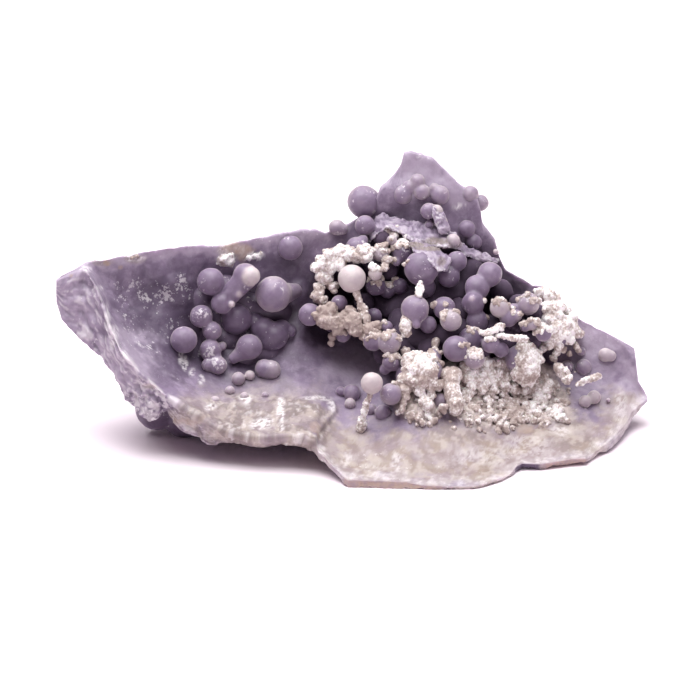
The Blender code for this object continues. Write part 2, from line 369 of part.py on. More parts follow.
def top_thickness(across):
    """The broken top edge thins out towards both tips."""
    to_tip = np.minimum(across - LOW_EDGE[0][0], LOW_EDGE[-1][0] - across) / TIP_LENGTH
    return TIP_THICK + (TOP_THICK - TIP_THICK) * np.clip(to_tip, 0.0, 1.0)


def rind_away(across, share):
    """How far away the outer rind lies, by the share of the way from the lower to the top edge."""
    straight = line(LOW_EDGE, across, 2) * (1 - share)
    straight = straight + (line(TOP_EDGE, across, 2) + top_thickness(across)) * share
    bulge = line(HOLLOW_DEPTH, across, 1) + line(RIND_BULGE, across, 1)
    return straight + bulge * np.sin(math.pi * share**RIND_BIAS)


def outward(grid):
    """Unit normals of a grid of points, turned away from the hollow."""
    normal = np.cross(np.gradient(grid, axis=0), np.gradient(grid, axis=1))
    normal /= np.linalg.norm(normal, axis=-1, keepdims=True) + 1e-9
    away = np.array([0.0, math.cos(TILT), -math.sin(TILT)])
    return np.where((normal @ away)[..., None] < 0, -normal, normal)


def domed(grid, share):
    """The rind raised along its normals by the highest of many low domes, none at its edges and tips."""
    draw = np.random.default_rng(DOME_SEED)
    spots = grid.reshape(-1, 3)[draw.integers(0, grid.shape[0] * grid.shape[1], DOME_COUNT)]
    radii = draw.uniform(*DOME_RADIUS, DOME_COUNT)
    heights = draw.uniform(*DOME_HEIGHT, DOME_COUNT)
    raised = np.zeros(grid.shape[:2])
    for spot, radius, height in zip(spots, radii, heights):
        apart = np.sum((grid - spot) ** 2, axis=-1)
        dome = np.sqrt(np.maximum(radius**2 - apart, 0.0)) - (radius - height)
        raised = np.maximum(raised, dome)
    to_tip = np.minimum(grid[..., 0] - LOW_EDGE[0][0], LOW_EDGE[-1][0] - grid[..., 0]) / TIP_LENGTH
    fade = np.clip(np.minimum(share, 1 - share) / DOME_FADE, 0.0, 1.0) * np.clip(to_tip, 0.0, 1.0) ** 2
    return grid + outward(grid) * (raised * fade)[..., None]


def plate_sections():
    """Closed rings of points, one for each place across: band, hollow, then the rind back down."""
    first, last = LOW_EDGE[0][0], LOW_EDGE[-1][0]
    columns = np.arange(first, last, COLUMN_STEP)
    knots = [point[0] for points in (LOW_EDGE, LIP, TOP_EDGE) for point in points]
    columns = np.unique(np.round(np.concatenate([columns, knots]), 2))
    across = columns[:, None]
    low, lip, top = line(LOW_EDGE, across, 1), line(LIP, across, 1), line(TOP_EDGE, across, 1)
    band = low + (lip - low) * np.linspace(0.0, 1.0, BAND_ROWS, endpoint=False)
    face = lip + (top - lip) * np.linspace(0.0, 1.0, FACE_ROWS)
    share = np.linspace(1.0, 0.0, RIND_ROWS, endpoint=False)
    rind = low + (top - TOP_DROP - low) * share
    front = np.concatenate([band, face], axis=1)
    front_away = face_away(across, front) - raised(across, front)
    front = seen(np.broadcast_to(across, front.shape), front, front_away)
    back = seen(np.broadcast_to(across, rind.shape), rind, rind_away(across, share))
    return np.concatenate([front, domed(back, share)], axis=1)


def closed_skin(shape, sections):
    """Rings joined by faces, and closed at both ends."""
    rings = [[shape.verts.new(point) for point in ring] for ring in sections]
    count = len(rings[0])
    for here, there in zip(rings, rings[1:]):
        for i in range(count):
            j = (i + 1) % count
            shape.faces.new((here[i], here[j], there[j], there[i]))
    shape.faces.new(rings[0][::-1])
    shape.faces.new(rings[-1])


def sheet_sections(table):
    """Rings of a sheet along a path: each is an ellipse between its top and its low edge."""
    stations = np.array(table)
    middle = (stations[:, 0:2] + stations[:, 2:4]) / 2
    length = np.concatenate([[0], np.cumsum(np.linalg.norm(np.diff(middle, axis=0), axis=1))])
    along = np.linspace(0, length[-1], int(length[-1] / SHEET_STEP))
    column = [np.interp(along, length, stations[:, i])[:, None] for i in range(7)]
    turn = np.linspace(0, 2 * math.pi, SHEET_AROUND, endpoint=False)[None, :]
    share = 0.5 + 0.5 * np.cos(turn)
    across = column[0] * share + column[2] * (1 - share)
    up = column[1] * share + column[3] * (1 - share)
    proud = column[4] * share + column[5] * (1 - share) + column[6] * np.sin(turn)
    return seen(across, up, face_away(across, up) - proud)


def ball(shape, centre, radius):
    """One ball as an icosphere."""
    made = bmesh.ops.create_icosphere(shape, subdivisions=3, radius=radius)
    bmesh.ops.translate(shape, verts=made["verts"], vec=centre)


def build_balls(shape):
    """Every ball, crumb and swelling, on the wall or in the heap."""
    on_wall = LEFT_HOLLOW + HIGH_WALL + FLOOR
    for across, up, proud, radius in on_wall + CRUST_MIDDLE + COLUMN + CRUST_RIGHT + BOULDER:
        away = float(face_away(np.array(across), np.array(up))) - proud
        ball(shape, seen(across, up, away), max(radius, CRUST_LEAST))
    for across, up, away, radius in HEAP:
        ball(shape, seen(across, up, away), radius)
        ball(shape, seen(across, up, away + radius * BEHIND_STEP), radius * BEHIND_SHARE)
    for across, up, away, radius in HEAP_CORE + ARCH + CLUMP + UNDERSIDE:
        ball(shape, seen(across, up, away), max(radius, CRUST_LEAST))


def build_stalks(shape):
    """Thin stalks as small balls set closely along their chains of points."""
    for stalk in STALKS:
        for here, there in zip(stalk, stalk[1:]):
            here, there = np.array(here), np.array(there)
            count = int(np.linalg.norm(there[:3] - here[:3]) / STALK_STEP) + 1
            for share in np.linspace(0.0, 1.0, count + 1):
                across, up, away, radius = here * (1 - share) + there * share
                ball(shape, seen(across, up, away), radius)


def object_from(shape, name):
    """A new object in the scene that holds the mesh, scaled from mm to metres."""
    bmesh.ops.scale(shape, vec=(MM, MM, MM), verts=shape.verts)
    bmesh.ops.recalc_face_normals(shape, faces=shape.faces)
    mesh = bpy.data.meshes.new(name)
    shape.to_mesh(mesh)
    shape.free()
    made = bpy.data.objects.new(name, mesh)
    bpy.context.scene.collection.objects.link(made)
    return made


def evaluated_shape(source):
    """The object's mesh after its modifiers, as an editable shape."""
    bpy.context.view_layer.update()
    graph = bpy.context.evaluated_depsgraph_get()
    shape = bmesh.new()
    shape.from_object(source, graph)
    return shape


def islands(shape):
    """The separate skins of a shape, as lists of vertices."""
    left, found = set(shape.verts), []
    while left:
        skin, edge = [], [left.pop()]
        while edge:
            vertex = edge.pop()
            skin.append(vertex)
            for link in vertex.link_edges:
                other = link.other_vert(vertex)
                if other in left:
                    left.remove(other)
                    edge.append(other)
        found.append(skin)
    return found


def keep_outer_skin(source):
    """Fused shapes can enclose small gaps: only the largest skin, the outside, is kept."""
    shape = evaluated_shape(source)
    skins = sorted(islands(shape), key=len)
    for skin in skins[:-1]:
        bmesh.ops.delete(shape, geom=skin, context="VERTS")
    source.modifiers.clear()
    shape.to_mesh(source.data)
    shape.free()


def fuse(source):
    """All the overlapping shapes become one skin."""
    remesh = source.modifiers.new("Fuse", "REMESH")
    remesh.mode = "VOXEL"
    remesh.voxel_size = SKIN_CELL * MM
    keep_outer_skin(source)


def thin_out(source):
    """Fewer faces, most of them kept where the shape is round."""
    faces = 2 * len(source.data.polygons)
    decimate = source.modifiers.new("Fewer faces", "DECIMATE")
    decimate.ratio = FACES_WANTED / faces
    keep_outer_skin(source)


def cut_base(source):
    """A flat on the underside, level with the table, that the specimen rests on."""
    shape = bmesh.new()
    made = bmesh.ops.create_cube(shape, size=1.0)
    bmesh.ops.scale(shape, vec=(2 * BASE_HALF, 2 * BASE_HALF, BASE_DEEP), verts=made["verts"])
    bmesh.ops.translate(shape, verts=made["verts"], vec=(0, 0, -BASE_DEEP / 2))
    cutter = object_from(shape, "base_cutter")
    cutter.hide_render = True
    cutter.display_type = "WIRE"
    cut = source.modifiers.new("Rest face", "BOOLEAN")
    cut.operation = "DIFFERENCE"
    cut.solver = "EXACT"
    cut.object = cutter


def stone_material():
    """Translucent purple stone, waxy rather than glassy."""
    material = bpy.data.materials.new("purple chalcedony")
    material.use_nodes = True
    shader = material.node_tree.nodes["Principled BSDF"]
    shader.inputs["Base Color"].default_value = STONE_COLOUR
    shader.inputs["Roughness"].default_value = STONE_ROUGHNESS
    shader.inputs["Metallic"].default_value = 0.0
    return material


def main():
    for old in list(bpy.data.objects):
        bpy.data.objects.remove(old, do_unlink=True)
    shape = bmesh.new()
    closed_skin(shape, plate_sections())
    closed_skin(shape, sheet_sections(LEDGE))
    closed_skin(shape, sheet_sections(SLAB))
    build_balls(shape)
    build_stalks(shape)
    specimen = object_from(shape, NAME)
    fuse(specimen)
    thin_out(specimen)
    specimen.data.materials.append(stone_material())
    cut_base(specimen)


main()
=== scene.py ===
"""The finished look of a hand specimen of purple botryoidal chalcedony, laid out as a Blender add-on.

Every shape is worked out in mm with numpy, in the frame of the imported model, and stored in metres.
"""

import itertools
import math

import bpy
import numpy as np
from bpy.props import FloatProperty, FloatVectorProperty, IntProperty, PointerProperty
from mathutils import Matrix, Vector


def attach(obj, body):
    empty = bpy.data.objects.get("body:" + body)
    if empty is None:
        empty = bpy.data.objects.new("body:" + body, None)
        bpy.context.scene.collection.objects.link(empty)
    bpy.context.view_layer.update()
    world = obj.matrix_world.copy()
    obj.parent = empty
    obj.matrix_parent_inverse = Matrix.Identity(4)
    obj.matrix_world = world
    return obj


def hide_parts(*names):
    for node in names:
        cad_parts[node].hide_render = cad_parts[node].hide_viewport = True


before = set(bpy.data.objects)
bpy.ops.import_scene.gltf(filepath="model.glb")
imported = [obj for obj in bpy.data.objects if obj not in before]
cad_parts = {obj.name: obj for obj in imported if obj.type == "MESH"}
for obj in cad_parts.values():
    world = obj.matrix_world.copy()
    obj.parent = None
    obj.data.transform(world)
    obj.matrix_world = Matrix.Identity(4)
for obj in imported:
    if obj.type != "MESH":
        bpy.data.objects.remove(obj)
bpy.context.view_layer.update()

bl_info = {
    "name": "Botryoidal chalcedony",
    "version": (1, 0, 0),
    "blender": (4, 5, 0),
    "location": "3D View > Sidebar > Chalcedony",
    "description": "Builds a hand specimen of purple botryoidal chalcedony and a plain studio",
    "category": "Add Mesh",
}

MM = 0.001
NODE = "chalcedony"

# Places are given as across (to the right), up and away (from the eye), in mm, in a frame tipped back by
# TILT. It is the frame in which the hollow faces straight out. The table passes through its centre.
TILT = math.radians(20.0)

# Lower outline of the plate, from the left tip to the right tip.
LOW_EDGE = (
    (-48.8, 22.8, -7.4), (-47.7, 19.7, -8), (-44.8, 16.8, -8.8), (-41, 13.5, -9.2), (-39, 10.6, -9.5),
    (-38.2, 8.4, -9.7), (-37.2, 6.7, -9.8), (-35.4, 5.7, -10), (-34.6, 4.2, -10.3), (-33.3, 3.3, -10.5),
    (-32, 3.7, -10.5), (-31.3, 5, -10.5), (-29.9, 5, -10.7), (-29, 3.7, -10.9), (-28.2, 2.3, -11.1),
    (-27, 1.4, -11.3), (-24.5, 0.7, -11.7), (-23.7, -0.3, -11.8), (-22.8, -0.9, -11.9), (-21.4, 0, -12.2),
    (-18, 0.1, -12.9), (-17.1, -0.4, -13.1), (-15.3, -0.8, -13.5), (-13.8, -0.7, -13.8),
    (-11.2, -0.2, -14.4), (-7.7, -0.7, -15.4), (-5.9, -1.6, -16), (-5.2, -2.9, -16.9), (-4.2, -3.6, -17.5),
    (-3.4, -4.6, -18.2), (-2.5, -5.4, -18.9), (-1.5, -6.3, -19.8), (-1, -7.2, -20.7), (-0.3, -7.6, -21.2),
    (5.5, -7.8, -21.7), (13.3, -8, -22.2), (16, -8, -22.2), (20.8, -7.8, -21.9), (22.5, -7.4, -20.8),
    (25, -6.6, -18.6), (26.7, -5.8, -16.4), (27.6, -5, -14.4), (28.5, -4.5, -13.3), (31.7, -4.6, -13.6),
    (34.2, -4.2, -12.8), (36.7, -3.8, -11.9), (39.2, -3.7, -11.6), (40.2, -2.9, -9.4), (41.7, -2, -7.2),
    (43.3, -1.4, -6), (45, 0.2, -2.2), (46.2, 1.9, 0.9), (47.2, 3.6, 3), (48.4, 5.1, 4), (49.7, 6.5, 4.6),
)

# Lip of the hollow: the inner border of the broken face along the lower outline.
LIP = (
    (-48.8, 26.3, -8.3), (-46, 27.8, -8.4), (-44, 28.3, -8.5), (-42.5, 26, -9.6), (-40.7, 21.5, -10.8),
    (-40.1, 19, -11.2), (-39, 16.7, -11.6), (-38, 14.7, -12), (-34.8, 11, -12.6), (-30.8, 7.6, -13.1),
    (-28.8, 6.2, -13.3), (-27, 4.8, -13.5), (-25.2, 3.9, -13.7), (-24, 3, -13.9), (-22.2, 2.1, -14.2),
    (-20.5, 1.3, -14.5), (-17.7, 0.7, -15), (-15.3, 0.3, -15.4), (-10, 0.6, -16.2), (-7.7, 0.3, -16.6),
    (-5.9, -0.5, -17), (-5.2, -1.9, -17.7), (-4.2, -2.8, -18.4), (-3.4, -3.8, -19), (-2.5, -4.6, -19.7),
    (-1.5, -5.6, -20.7), (-0.3, -6.6, -21.5), (5.5, -6.7, -21.7), (9.2, -6.8, -21.8), (12, -7.4, -22.3),
    (16, -7.6, -22.5), (20.8, -7.5, -22.3), (22.5, -7.1, -21.2), (25, -6.3, -19), (26.7, -5.4, -16.9),
    (27.6, -4.3, -15), (28.5, -3.8, -14.1), (31.7, -3.9, -14.3), (34.2, -3.5, -13.5), (36.7, -3.1, -12.5),
    (39.2, -3.1, -12.2), (40.2, -2.3, -10), (41.7, -1.2, -7.8), (43.3, -0.3, -6.2), (45, 1.4, -2.6),
    (46.2, 3.1, 0.5), (47.2, 4.7, 2.7), (48.4, 5.9, 3.8), (49.7, 6.8, 4.5),
)

# Upper outline, over the peak to the right tip.
TOP_EDGE = (
    (-48.8, 26.6, -8.1), (-48, 27.3, -7.6), (-45.7, 28.5, -6.6), (-44, 29.5, -5.6), (-39.2, 30.3, -3.6),
    (-35, 31.2, -1.8), (-29.7, 32, -0.4), (-25, 32.5, 0.9), (-21.5, 32.5, 1.8), (-8.3, 35.2, 4.7),
    (-5.7, 35.2, 5.3), (-4.2, 34.6, 5.8), (0, 36.3, 7), (2.5, 38, 7.2), (4.3, 40, 6.8), (5, 42.3, 6.4),
    (6.3, 43.3, 6), (7.7, 44.8, 5.6), (8.5, 46, 5.3), (9, 48, 5), (10.2, 48.3, 4.8), (13.8, 47.2, 5.2),
    (15.5, 45.5, 5.6), (18, 43, 6.2), (21, 41.3, 6.8), (21.7, 38.8, 7.2), (22.1, 36.3, 7.5),
    (24.2, 33.7, 7.8), (25, 30.5, 8), (26, 28.5, 7.8), (28.2, 27.3, 7.4), (30.5, 25.8, 7.1),
    (32.3, 25.7, 6.8), (35, 24, 6.6), (36.7, 21.2, 6.5), (39.2, 19.7, 6.4), (42, 18.3, 6.2),
    (45, 16.8, 5.8), (47.5, 15.3, 5.4), (47.8, 13.2, 5.2), (48.2, 9.8, 4.9), (49.7, 7.1, 4.6),
)

# How far the hollow sinks behind a straight line from lip to top edge, and the rind's bulge behind that.
HOLLOW_DEPTH = (
    (-48.8, 0.2), (-44, 1.5), (-40, 4), (-33, 8), (-24, 10.5), (-8, 11.5), (5, 12), (20, 12), (32, 9),
    (40, 6), (46, 3), (49.7, 0.3),
)
RIND_BULGE = (
    (-48.8, 1.5), (-40, 4.2), (-30, 7), (-22, 9.5), (-12, 10.5), (5, 9), (22, 8.5), (36, 6), (44, 4),
    (49.7, 1),
)
# Bias of both sines, and over how many mm the outlines are eased and the hollow is drawn onto them.
HOLLOW_BIAS = 0.85
RIND_BIAS = 0.62
EASE = 2.4
EASE_SPAN = 2.0
EASE_STEPS = 17
DRAWN = 2.2
# Thickness of the broken top edge, how far the rind starts below it, and how both tips thin out.
TOP_THICK = 3.4
TOP_DROP = 0.7
TIP_THICK = 1.0
TIP_LENGTH = 7.0

# Low domes all over the rind, which fade out towards its edges.
DOME_COUNT = 120
DOME_RADIUS = (4.0, 7.5)
DOME_HEIGHT = (0.7, 1.7)
DOME_SEED = 7
DOME_FADE = 0.08
RIND_ROUGH_HEIGHT = 0.28
# The coarser grid that the domes' places are drawn from.
COARSE_STEP = 0.75
COARSE_ROWS = 46

# Rows of the plate's grid: the broken band, the hollow, the top break and the rind.
COLUMN_STEP = 0.245
BAND_ROWS = 26
FACE_ROWS = 136
BREAK_ROWS = 7
RIND_ROWS = 62
ROW_BIAS = 1.35

# Noises: size in mm, seed, layers, and how each layer is weaker than the one before.
RIND_ROUGH = (2.6, 61, 5, 0.62)
RIND_DEEP = (9, 111, 4, 0.6)
RIND_BEIGE = (12, 121, 5, 0.6)
RIND_DUST = (7, 141, 3, 0.6)
ZONE_BORDERS = (3, 91, 4, 0.6)
JAGS = (2.2, 71, 4, 0.7)
CHIPPING = (2.2, 81, 4, 0.6)
TOP_WAVES = (2.4, 83, 4, 0.6)
BREAK_ROUGH = (1.8, 101, 4, 0.6)
FIBRES = (1.1, 11, 4, 0.65)
BAND_ROUGH = (2.6, 21, 5, 0.6)
SHARDS = (1.2, 23, 3, 0.65)
RIDGES = (2.2, 57, 4, 0.6)
FROST_ROUGH = (2.2, 31, 5, 0.65)
CLOUDS = (5, 61, 4, 0.6)
LIGHT_SPOTS = (2, 65, 5, 0.65)
CRYSTALS = (0.9, 67, 3, 0.6)
CHALK_GAPS = (0.8, 69, 3, 0.7)
SWELLS = (5.5, 41, 5, 0.45)
RIPPLES = (1, 51, 4, 0.6)
PORES = (1.6, 33, 4, 0.65)
BAND_MOTTLE = (3, 73, 3, 0.6)
EDGE_WAVES = (1.8, 75, 3, 0.6)
EDGE_CHALK = (1.1, 77, 3, 0.6)
UNEVEN = (1.9, 131, 3, 0.5)
WHITE_BORDERS = (1.6, 95, 3, 0.6)
SPRINKLE_GAPS = (1.6, 97, 2, 0.6)

# The broken band: its border at the lip, between which widths it is fibrous, how the fibres are drawn out
# along it and packed across it, and the heights of its relief in mm.
BAND_BORDER = (-0.25, 0.35)
BAND_WIDE = (1.2, 4)
FIBRE_ALONG = 0.3
FIBRE_PACKED = 9
FIBRE_HEIGHT = 0.3
BAND_HEIGHT = 0.4
BAND_LEAST = 0.35
SHARD_HEIGHT = 0.34
# Ridges are where a noise crosses zero: their height is this less the size of the noise.
RIDGE_TOP = 0.4
# Frosted ground: grains of two sizes, with seeds; the weights of both, of the roughness and of the ridges.
# Its noises are drawn out in depth, so that they aren't flat streaks on the floor.
BIG_GRAINS = (1.5, 3)
SMALL_GRAINS = (0.7, 5)
GRAIN_MIDDLE = 0.6
BIG_HEIGHT, SMALL_HEIGHT, FROST_HEIGHT, RIDGE_HEIGHT = 0.1, 0.07, 0.24, 0.14
DRAWN_DEEP = 0.35
# Plain ground: swells, and on beige ground ripples along the edge with fine grains.
SWELL_HEIGHT = 0.34
RIPPLE_ALONG, RIPPLE_UP = 5.0, 1.8
RIPPLE_HEIGHT = 0.22
FINE_HEIGHT = 0.05
# Granular floor: its grains, their weight and that of the pores.
FLOOR_GRAINS = (0.62, 9)
FLOOR_GRAIN_HEIGHT, PORE_HEIGHT = 0.4, 0.5
# The white line along the lip: how far above the lip, its width, and where it begins and ends.
LINE_ABOVE, LINE_WIDTH, LINE_HEIGHT = 0.2, 0.5, 0.15
LINE_BEGINS, LINE_ENDS = (-42.4, -41), (-26, -20)
# Stretches of the band: tan, dark purple and beige, each by where it begins and where it ends.
# The tan stretches are partly painted shade on the edge's thickness.
TAN_SHADE_STRETCHES = (((-1.6, -0.4), (14.6, 16.4)), ((31, 33), (38.6, 40)))
DARK_STRETCH = ((26.6, 27.6), (31, 32.4))
BEIGE_STRETCH = ((15, 16.4), (25.6, 26.8))
# From where on the front plate has a chalky edge, and how wide that is.
CHALKY_FROM = (-6.2, -5)
CHALKY_WIDTH = (0.4, 2)
# The top rim: how wide its pale strip is on the right, and how much wider on the left.
RIM_WIDTH, RIM_WIDER = 0.9, 0.9
RIM_TURNS = (-6, -2)
# Jag of the low edge and chips of the top edge in mm; relief near the edges as a share, by rows; how
# rough the top break is.
JAG_HEIGHT, CHIP_HEIGHT = 0.3, 0.16
EDGE_SHARE, EDGE_ROWS = 0.2, 9
EDGE_FLAT, EDGE_FLATTENS = 0.15, (-7, -3)
TOP_SHARE = 0.3
TIP_FADE = 3
TIP_SHARE = 0.15
BREAK_HEIGHT = 0.25

# The left floor lies over the front plate and ends at this broken step: across, up.
STEP_LINE = (
    (-5.9, -2), (-5.8, 0.6), (-5.2, 1.4), (-3.8, 2.9), (-2.8, 4), (-2.3, 4.8), (-2.7, 6.2), (-4.2, 7.2),
    (-7, 7.6),
)
STEP_HEIGHT = 0.6
STEP_BORDER = (-0.2, 0.35)
STEP_FADE = (5.6, 7.8)

# Hidden pocket behind the heap: across, up, half width, half height, depth in mm.
POCKET = ((13, 21.5, 19, 11.5, 4),)

# Zones of the surface, each a soft ellipse: across, up, half width, half height, strength. It fades between
# these shares of its reach.
PATCH_BORDER = (0.55, 1.25)
# Frosted ground with pale grains.
FROST = (
    (-14, 4, 12.5, 3.6, 0.9), (-14, 5.4, 13.5, 5, 0.4), (-24.5, 4.6, 6, 2.4, 0.8), (-7, 3.2, 5, 3.2, 1),
    (26, 6.4, 9.5, 4.6, 1), (17, 1.5, 9, 2, 0.5), (38, -0.3, 5.5, 1.6, 0.6), (36, 3, 3.5, 2.4, 0.7),
    (-41.5, 29.6, 2.6, 0.7, 0.5), (-36, 30.2, 2, 0.9, 0.6), (15, 33.2, 3.4, 0.7, 0.9),
    (17.3, 33, 1.3, 1.1, 0.8), (10.5, 32.6, 2.2, 0.45, 1.2), (14, 31.9, 2.8, 0.4, 1.1),
    (15.2, 29.8, 1, 0.8, 0.7), (6.3, 34.4, 0.6, 1, 0.9), (-17, 1.2, 7, 3, 1), (-9.5, 0.8, 5.5, 3.4, 1),
    (-22, 2.4, 3, 1.6, 0.5),
)
# White crystals.
CHALK = (
    (-20.8, 30.2, 1.9, 1, 1), (-15.6, 30.9, 1.4, 0.6, 0.9), (-16.2, 30.5, 1.9, 0.6, 0.9),
    (-19.4, 31.7, 2.6, 1.2, 0.55), (-35.7, 30.4, 1.9, 0.6, 0.9), (-44, 28.4, 1.2, 0.6, 0.8),
    (-42.2, 25.3, 1.2, 0.5, 0.8), (-28.2, 14.2, 0.45, 1.2, 0.9), (-27.4, 12.8, 0.45, 1.2, 0.9),
    (-26.2, 11.4, 0.6, 1, 0.9), (-24.8, 10.2, 0.5, 0.8, 0.7), (-40.3, 20.4, 0.5, 2.6, 0.8),
    (-39.3, 17, 0.6, 2.2, 0.8), (-37.4, 14, 0.7, 1.4, 0.7), (-11.4, 4.2, 0.7, 2.8, 0.9),
    (-17.3, 6.3, 1.1, 1.4, 0.8), (-23.3, 5, 1, 0.6, 0.8), (-14.6, 2.2, 2.2, 1.1, 0.8),
    (-5.6, 6.8, 2.8, 0.5, 0.7), (-3.2, 5.4, 0.8, 1.4, 0.7), (7.6, -3.7, 1, 1.7, 0.45),
    (-0.8, -3.3, 1.1, 1.1, 0.4), (18.4, 39, 1.1, 0.5, 1), (3.6, -4.6, 2.4, 0.8, 0.25),
    (21.5, -2.6, 5.4, 1.4, 0.25), (29, -0.8, 5, 1.8, 0.3), (35, 1.8, 1.8, 1, 0.5),
    (45.2, 5, 1.2, 3.2, 0.35),
)
# Smooth beige ground.
BEIGE = (
    (16, -2.8, 27, 5.6, 1), (36, 0.2, 10, 4.2, 1), (0, -2, 6, 5.2, 1), (-16, 3.6, 13, 4, 0.5),
    (45, 4.2, 4.2, 4.4, 0.9), (-19.6, 31.6, 2.8, 1.4, 0.7), (-25.5, 6.4, 3.6, 2, 0.4),
)
# Deeper purple places: partly the stone's own deeper purple, partly painted shade on the hollow's wall under
# the rim and behind the balls.
DEEP_AND_SHADE = (
    (-30, 21.5, 11, 8.5, 0.85), (-20, 20, 10, 7.5, 0.85), (-8.5, 25.5, 8, 7.5, 0.8),
    (-17, 10.8, 9, 4.2, 0.8), (-30, 19.5, 11, 9.5, 1), (-30, 14, 5.5, 5, 0.9), (11, 38.2, 5, 2.2, 0.5),
    (19.5, 36, 3.4, 4, 0.15), (21, 31.5, 4, 3, 0.25), (32, 12, 3.5, 3, 0.6), (-13, 29.8, 5, 1.6, 0.9),
    (35, 10.8, 3, 2.4, 0.7),
)
# Broken into dark and white chips.
SHATTERED = ((-34, 6.6, 5.6, 5.2, 1), (-28, 2.6, 5, 3.4, 1), (-23.6, 0.6, 3, 2, 1))
# Painted shade: almost black places, deep between the balls.
SHADE_ZONES = (
    (-12, 21.2, 4.6, 1.6, 0.9), (-19.5, 16.9, 2.4, 1.3, 0.8), (-19, 19.6, 8.5, 5, 0.5),
    (-24.8, 18.6, 3, 3.6, 0.6), (-5.3, 17.9, 3.8, 2.4, 0.9), (-1, 24.2, 2.2, 2, 0.9),
    (5.4, 22.6, 3.6, 2, 0.8), (12.5, 15.4, 1.8, 1.6, 0.9), (26.7, 24.7, 3, 2.2, 0.8),
    (18.4, 27.6, 2.6, 2.4, 1), (14.4, 24.2, 1.6, 1, 0.7), (27.2, 18.4, 1.8, 1, 0.8),
    (32.5, 13, 1.4, 1.4, 0.4), (13, 22, 17, 9, 0.45),
)
# Pale, see-through places, and painted light on the floor below the heap, where its shadow falls.
PALE_AND_LIT = (
    (11.5, 45.5, 5, 4.6, 0.9), (17.5, 42.5, 5, 3.5, 0.8), (43, 14.5, 7, 6, 0.35), (47.6, 8, 3.6, 7, 1),
    (-45.5, 22, 5, 7.5, 0.5), (-38, 12, 6, 8, 0.8), (1, 11.8, 6.5, 3.8, 0.8), (28.5, 26.4, 5.5, 2.4, 0.9),
    (-13, 8.5, 12, 3, 0.3), (24.5, 33, 1.2, 4, 0.4), (3, 3, 6, 3, 0.2), (41, 17, 6.5, 3.6, 1),
)
# Tan stains.
TAN = (
    (-18.8, 32, 2.2, 1, 0.9), (-18, 30.8, 0.7, 1.3, 0.8), (-40.5, 29.4, 0.6, 0.5, 1),
    (-38.2, 28.8, 0.4, 0.4, 0.8), (-46.3, 27.4, 0.4, 0.3, 0.8), (8, 33.6, 0.8, 0.8, 0.8),
    (27.5, 3.9, 1.6, 0.8, 0.7), (29.2, 1.8, 1.6, 0.6, 0.7), (-6, 1.6, 0.9, 1.2, 0.6),
    (-26.6, 3.4, 3, 0.5, 0.5), (-33, 9, 1.6, 0.5, 0.4),
)
# Strewn with small white flecks; on the ball at -24.8, 21 they are a painted highlight.
DUST_AND_HIGHLIGHT = (
    (-35.5, 24.5, 5.5, 3.6, 0.75), (-30.5, 20, 5, 4.5, 0.7), (-34, 17, 3, 4, 0.6), (-28.2, 24.8, 3, 2.8, 1),
    (-36.5, 18, 2.6, 5.5, 0.7), (-24.8, 21, 1.6, 1.2, 0.8), (-23.2, 18.4, 1.6, 1.2, 0.8),
    (-23.4, 15.2, 2.1, 1.7, 1), (-22, 12.6, 1.8, 1.6, 1), (-27.5, 17.6, 1.6, 0.8, 0.4),
    (-13.5, 12.6, 2, 0.8, 0.7), (-30, 11, 3.5, 3, 0.4), (-36.5, 6, 3, 3, 0.8), (-45, 23, 4, 6, 0.4),
    (-31.5, 5.6, 4, 2.4, 0.8), (8.7, 31.4, 1.8, 1.8, 0.8), (4.2, 25.8, 1.8, 1.8, 0.7),
    (5.1, 31.2, 1.6, 1.4, 0.8), (13.4, 38.2, 1.6, 1.6, 0.8), (15, 36.4, 1.3, 1.4, 0.9),
    (6.9, 13, 1.7, 1.7, 0.7), (20.7, 14, 1.7, 1.2, 0.9), (25.4, 30.5, 1.6, 0.9, 1),
    (24.9, 22.9, 1.3, 0.8, 0.6), (29.7, 23.6, 1.6, 1.1, 0.9), (36, 12, 2.5, 2, 0.6),
    (16.4, 20.6, 1.6, 1.5, 0.8), (3.8, 17.6, 1.4, 0.8, 0.9), (16, -4, 22, 2.6, 0.35),
    (21, 15.6, 2.2, 1.2, 0.4), (12, 26.8, 2.4, 0.8, 0.3), (40, 4, 6, 4, 0.3),
)

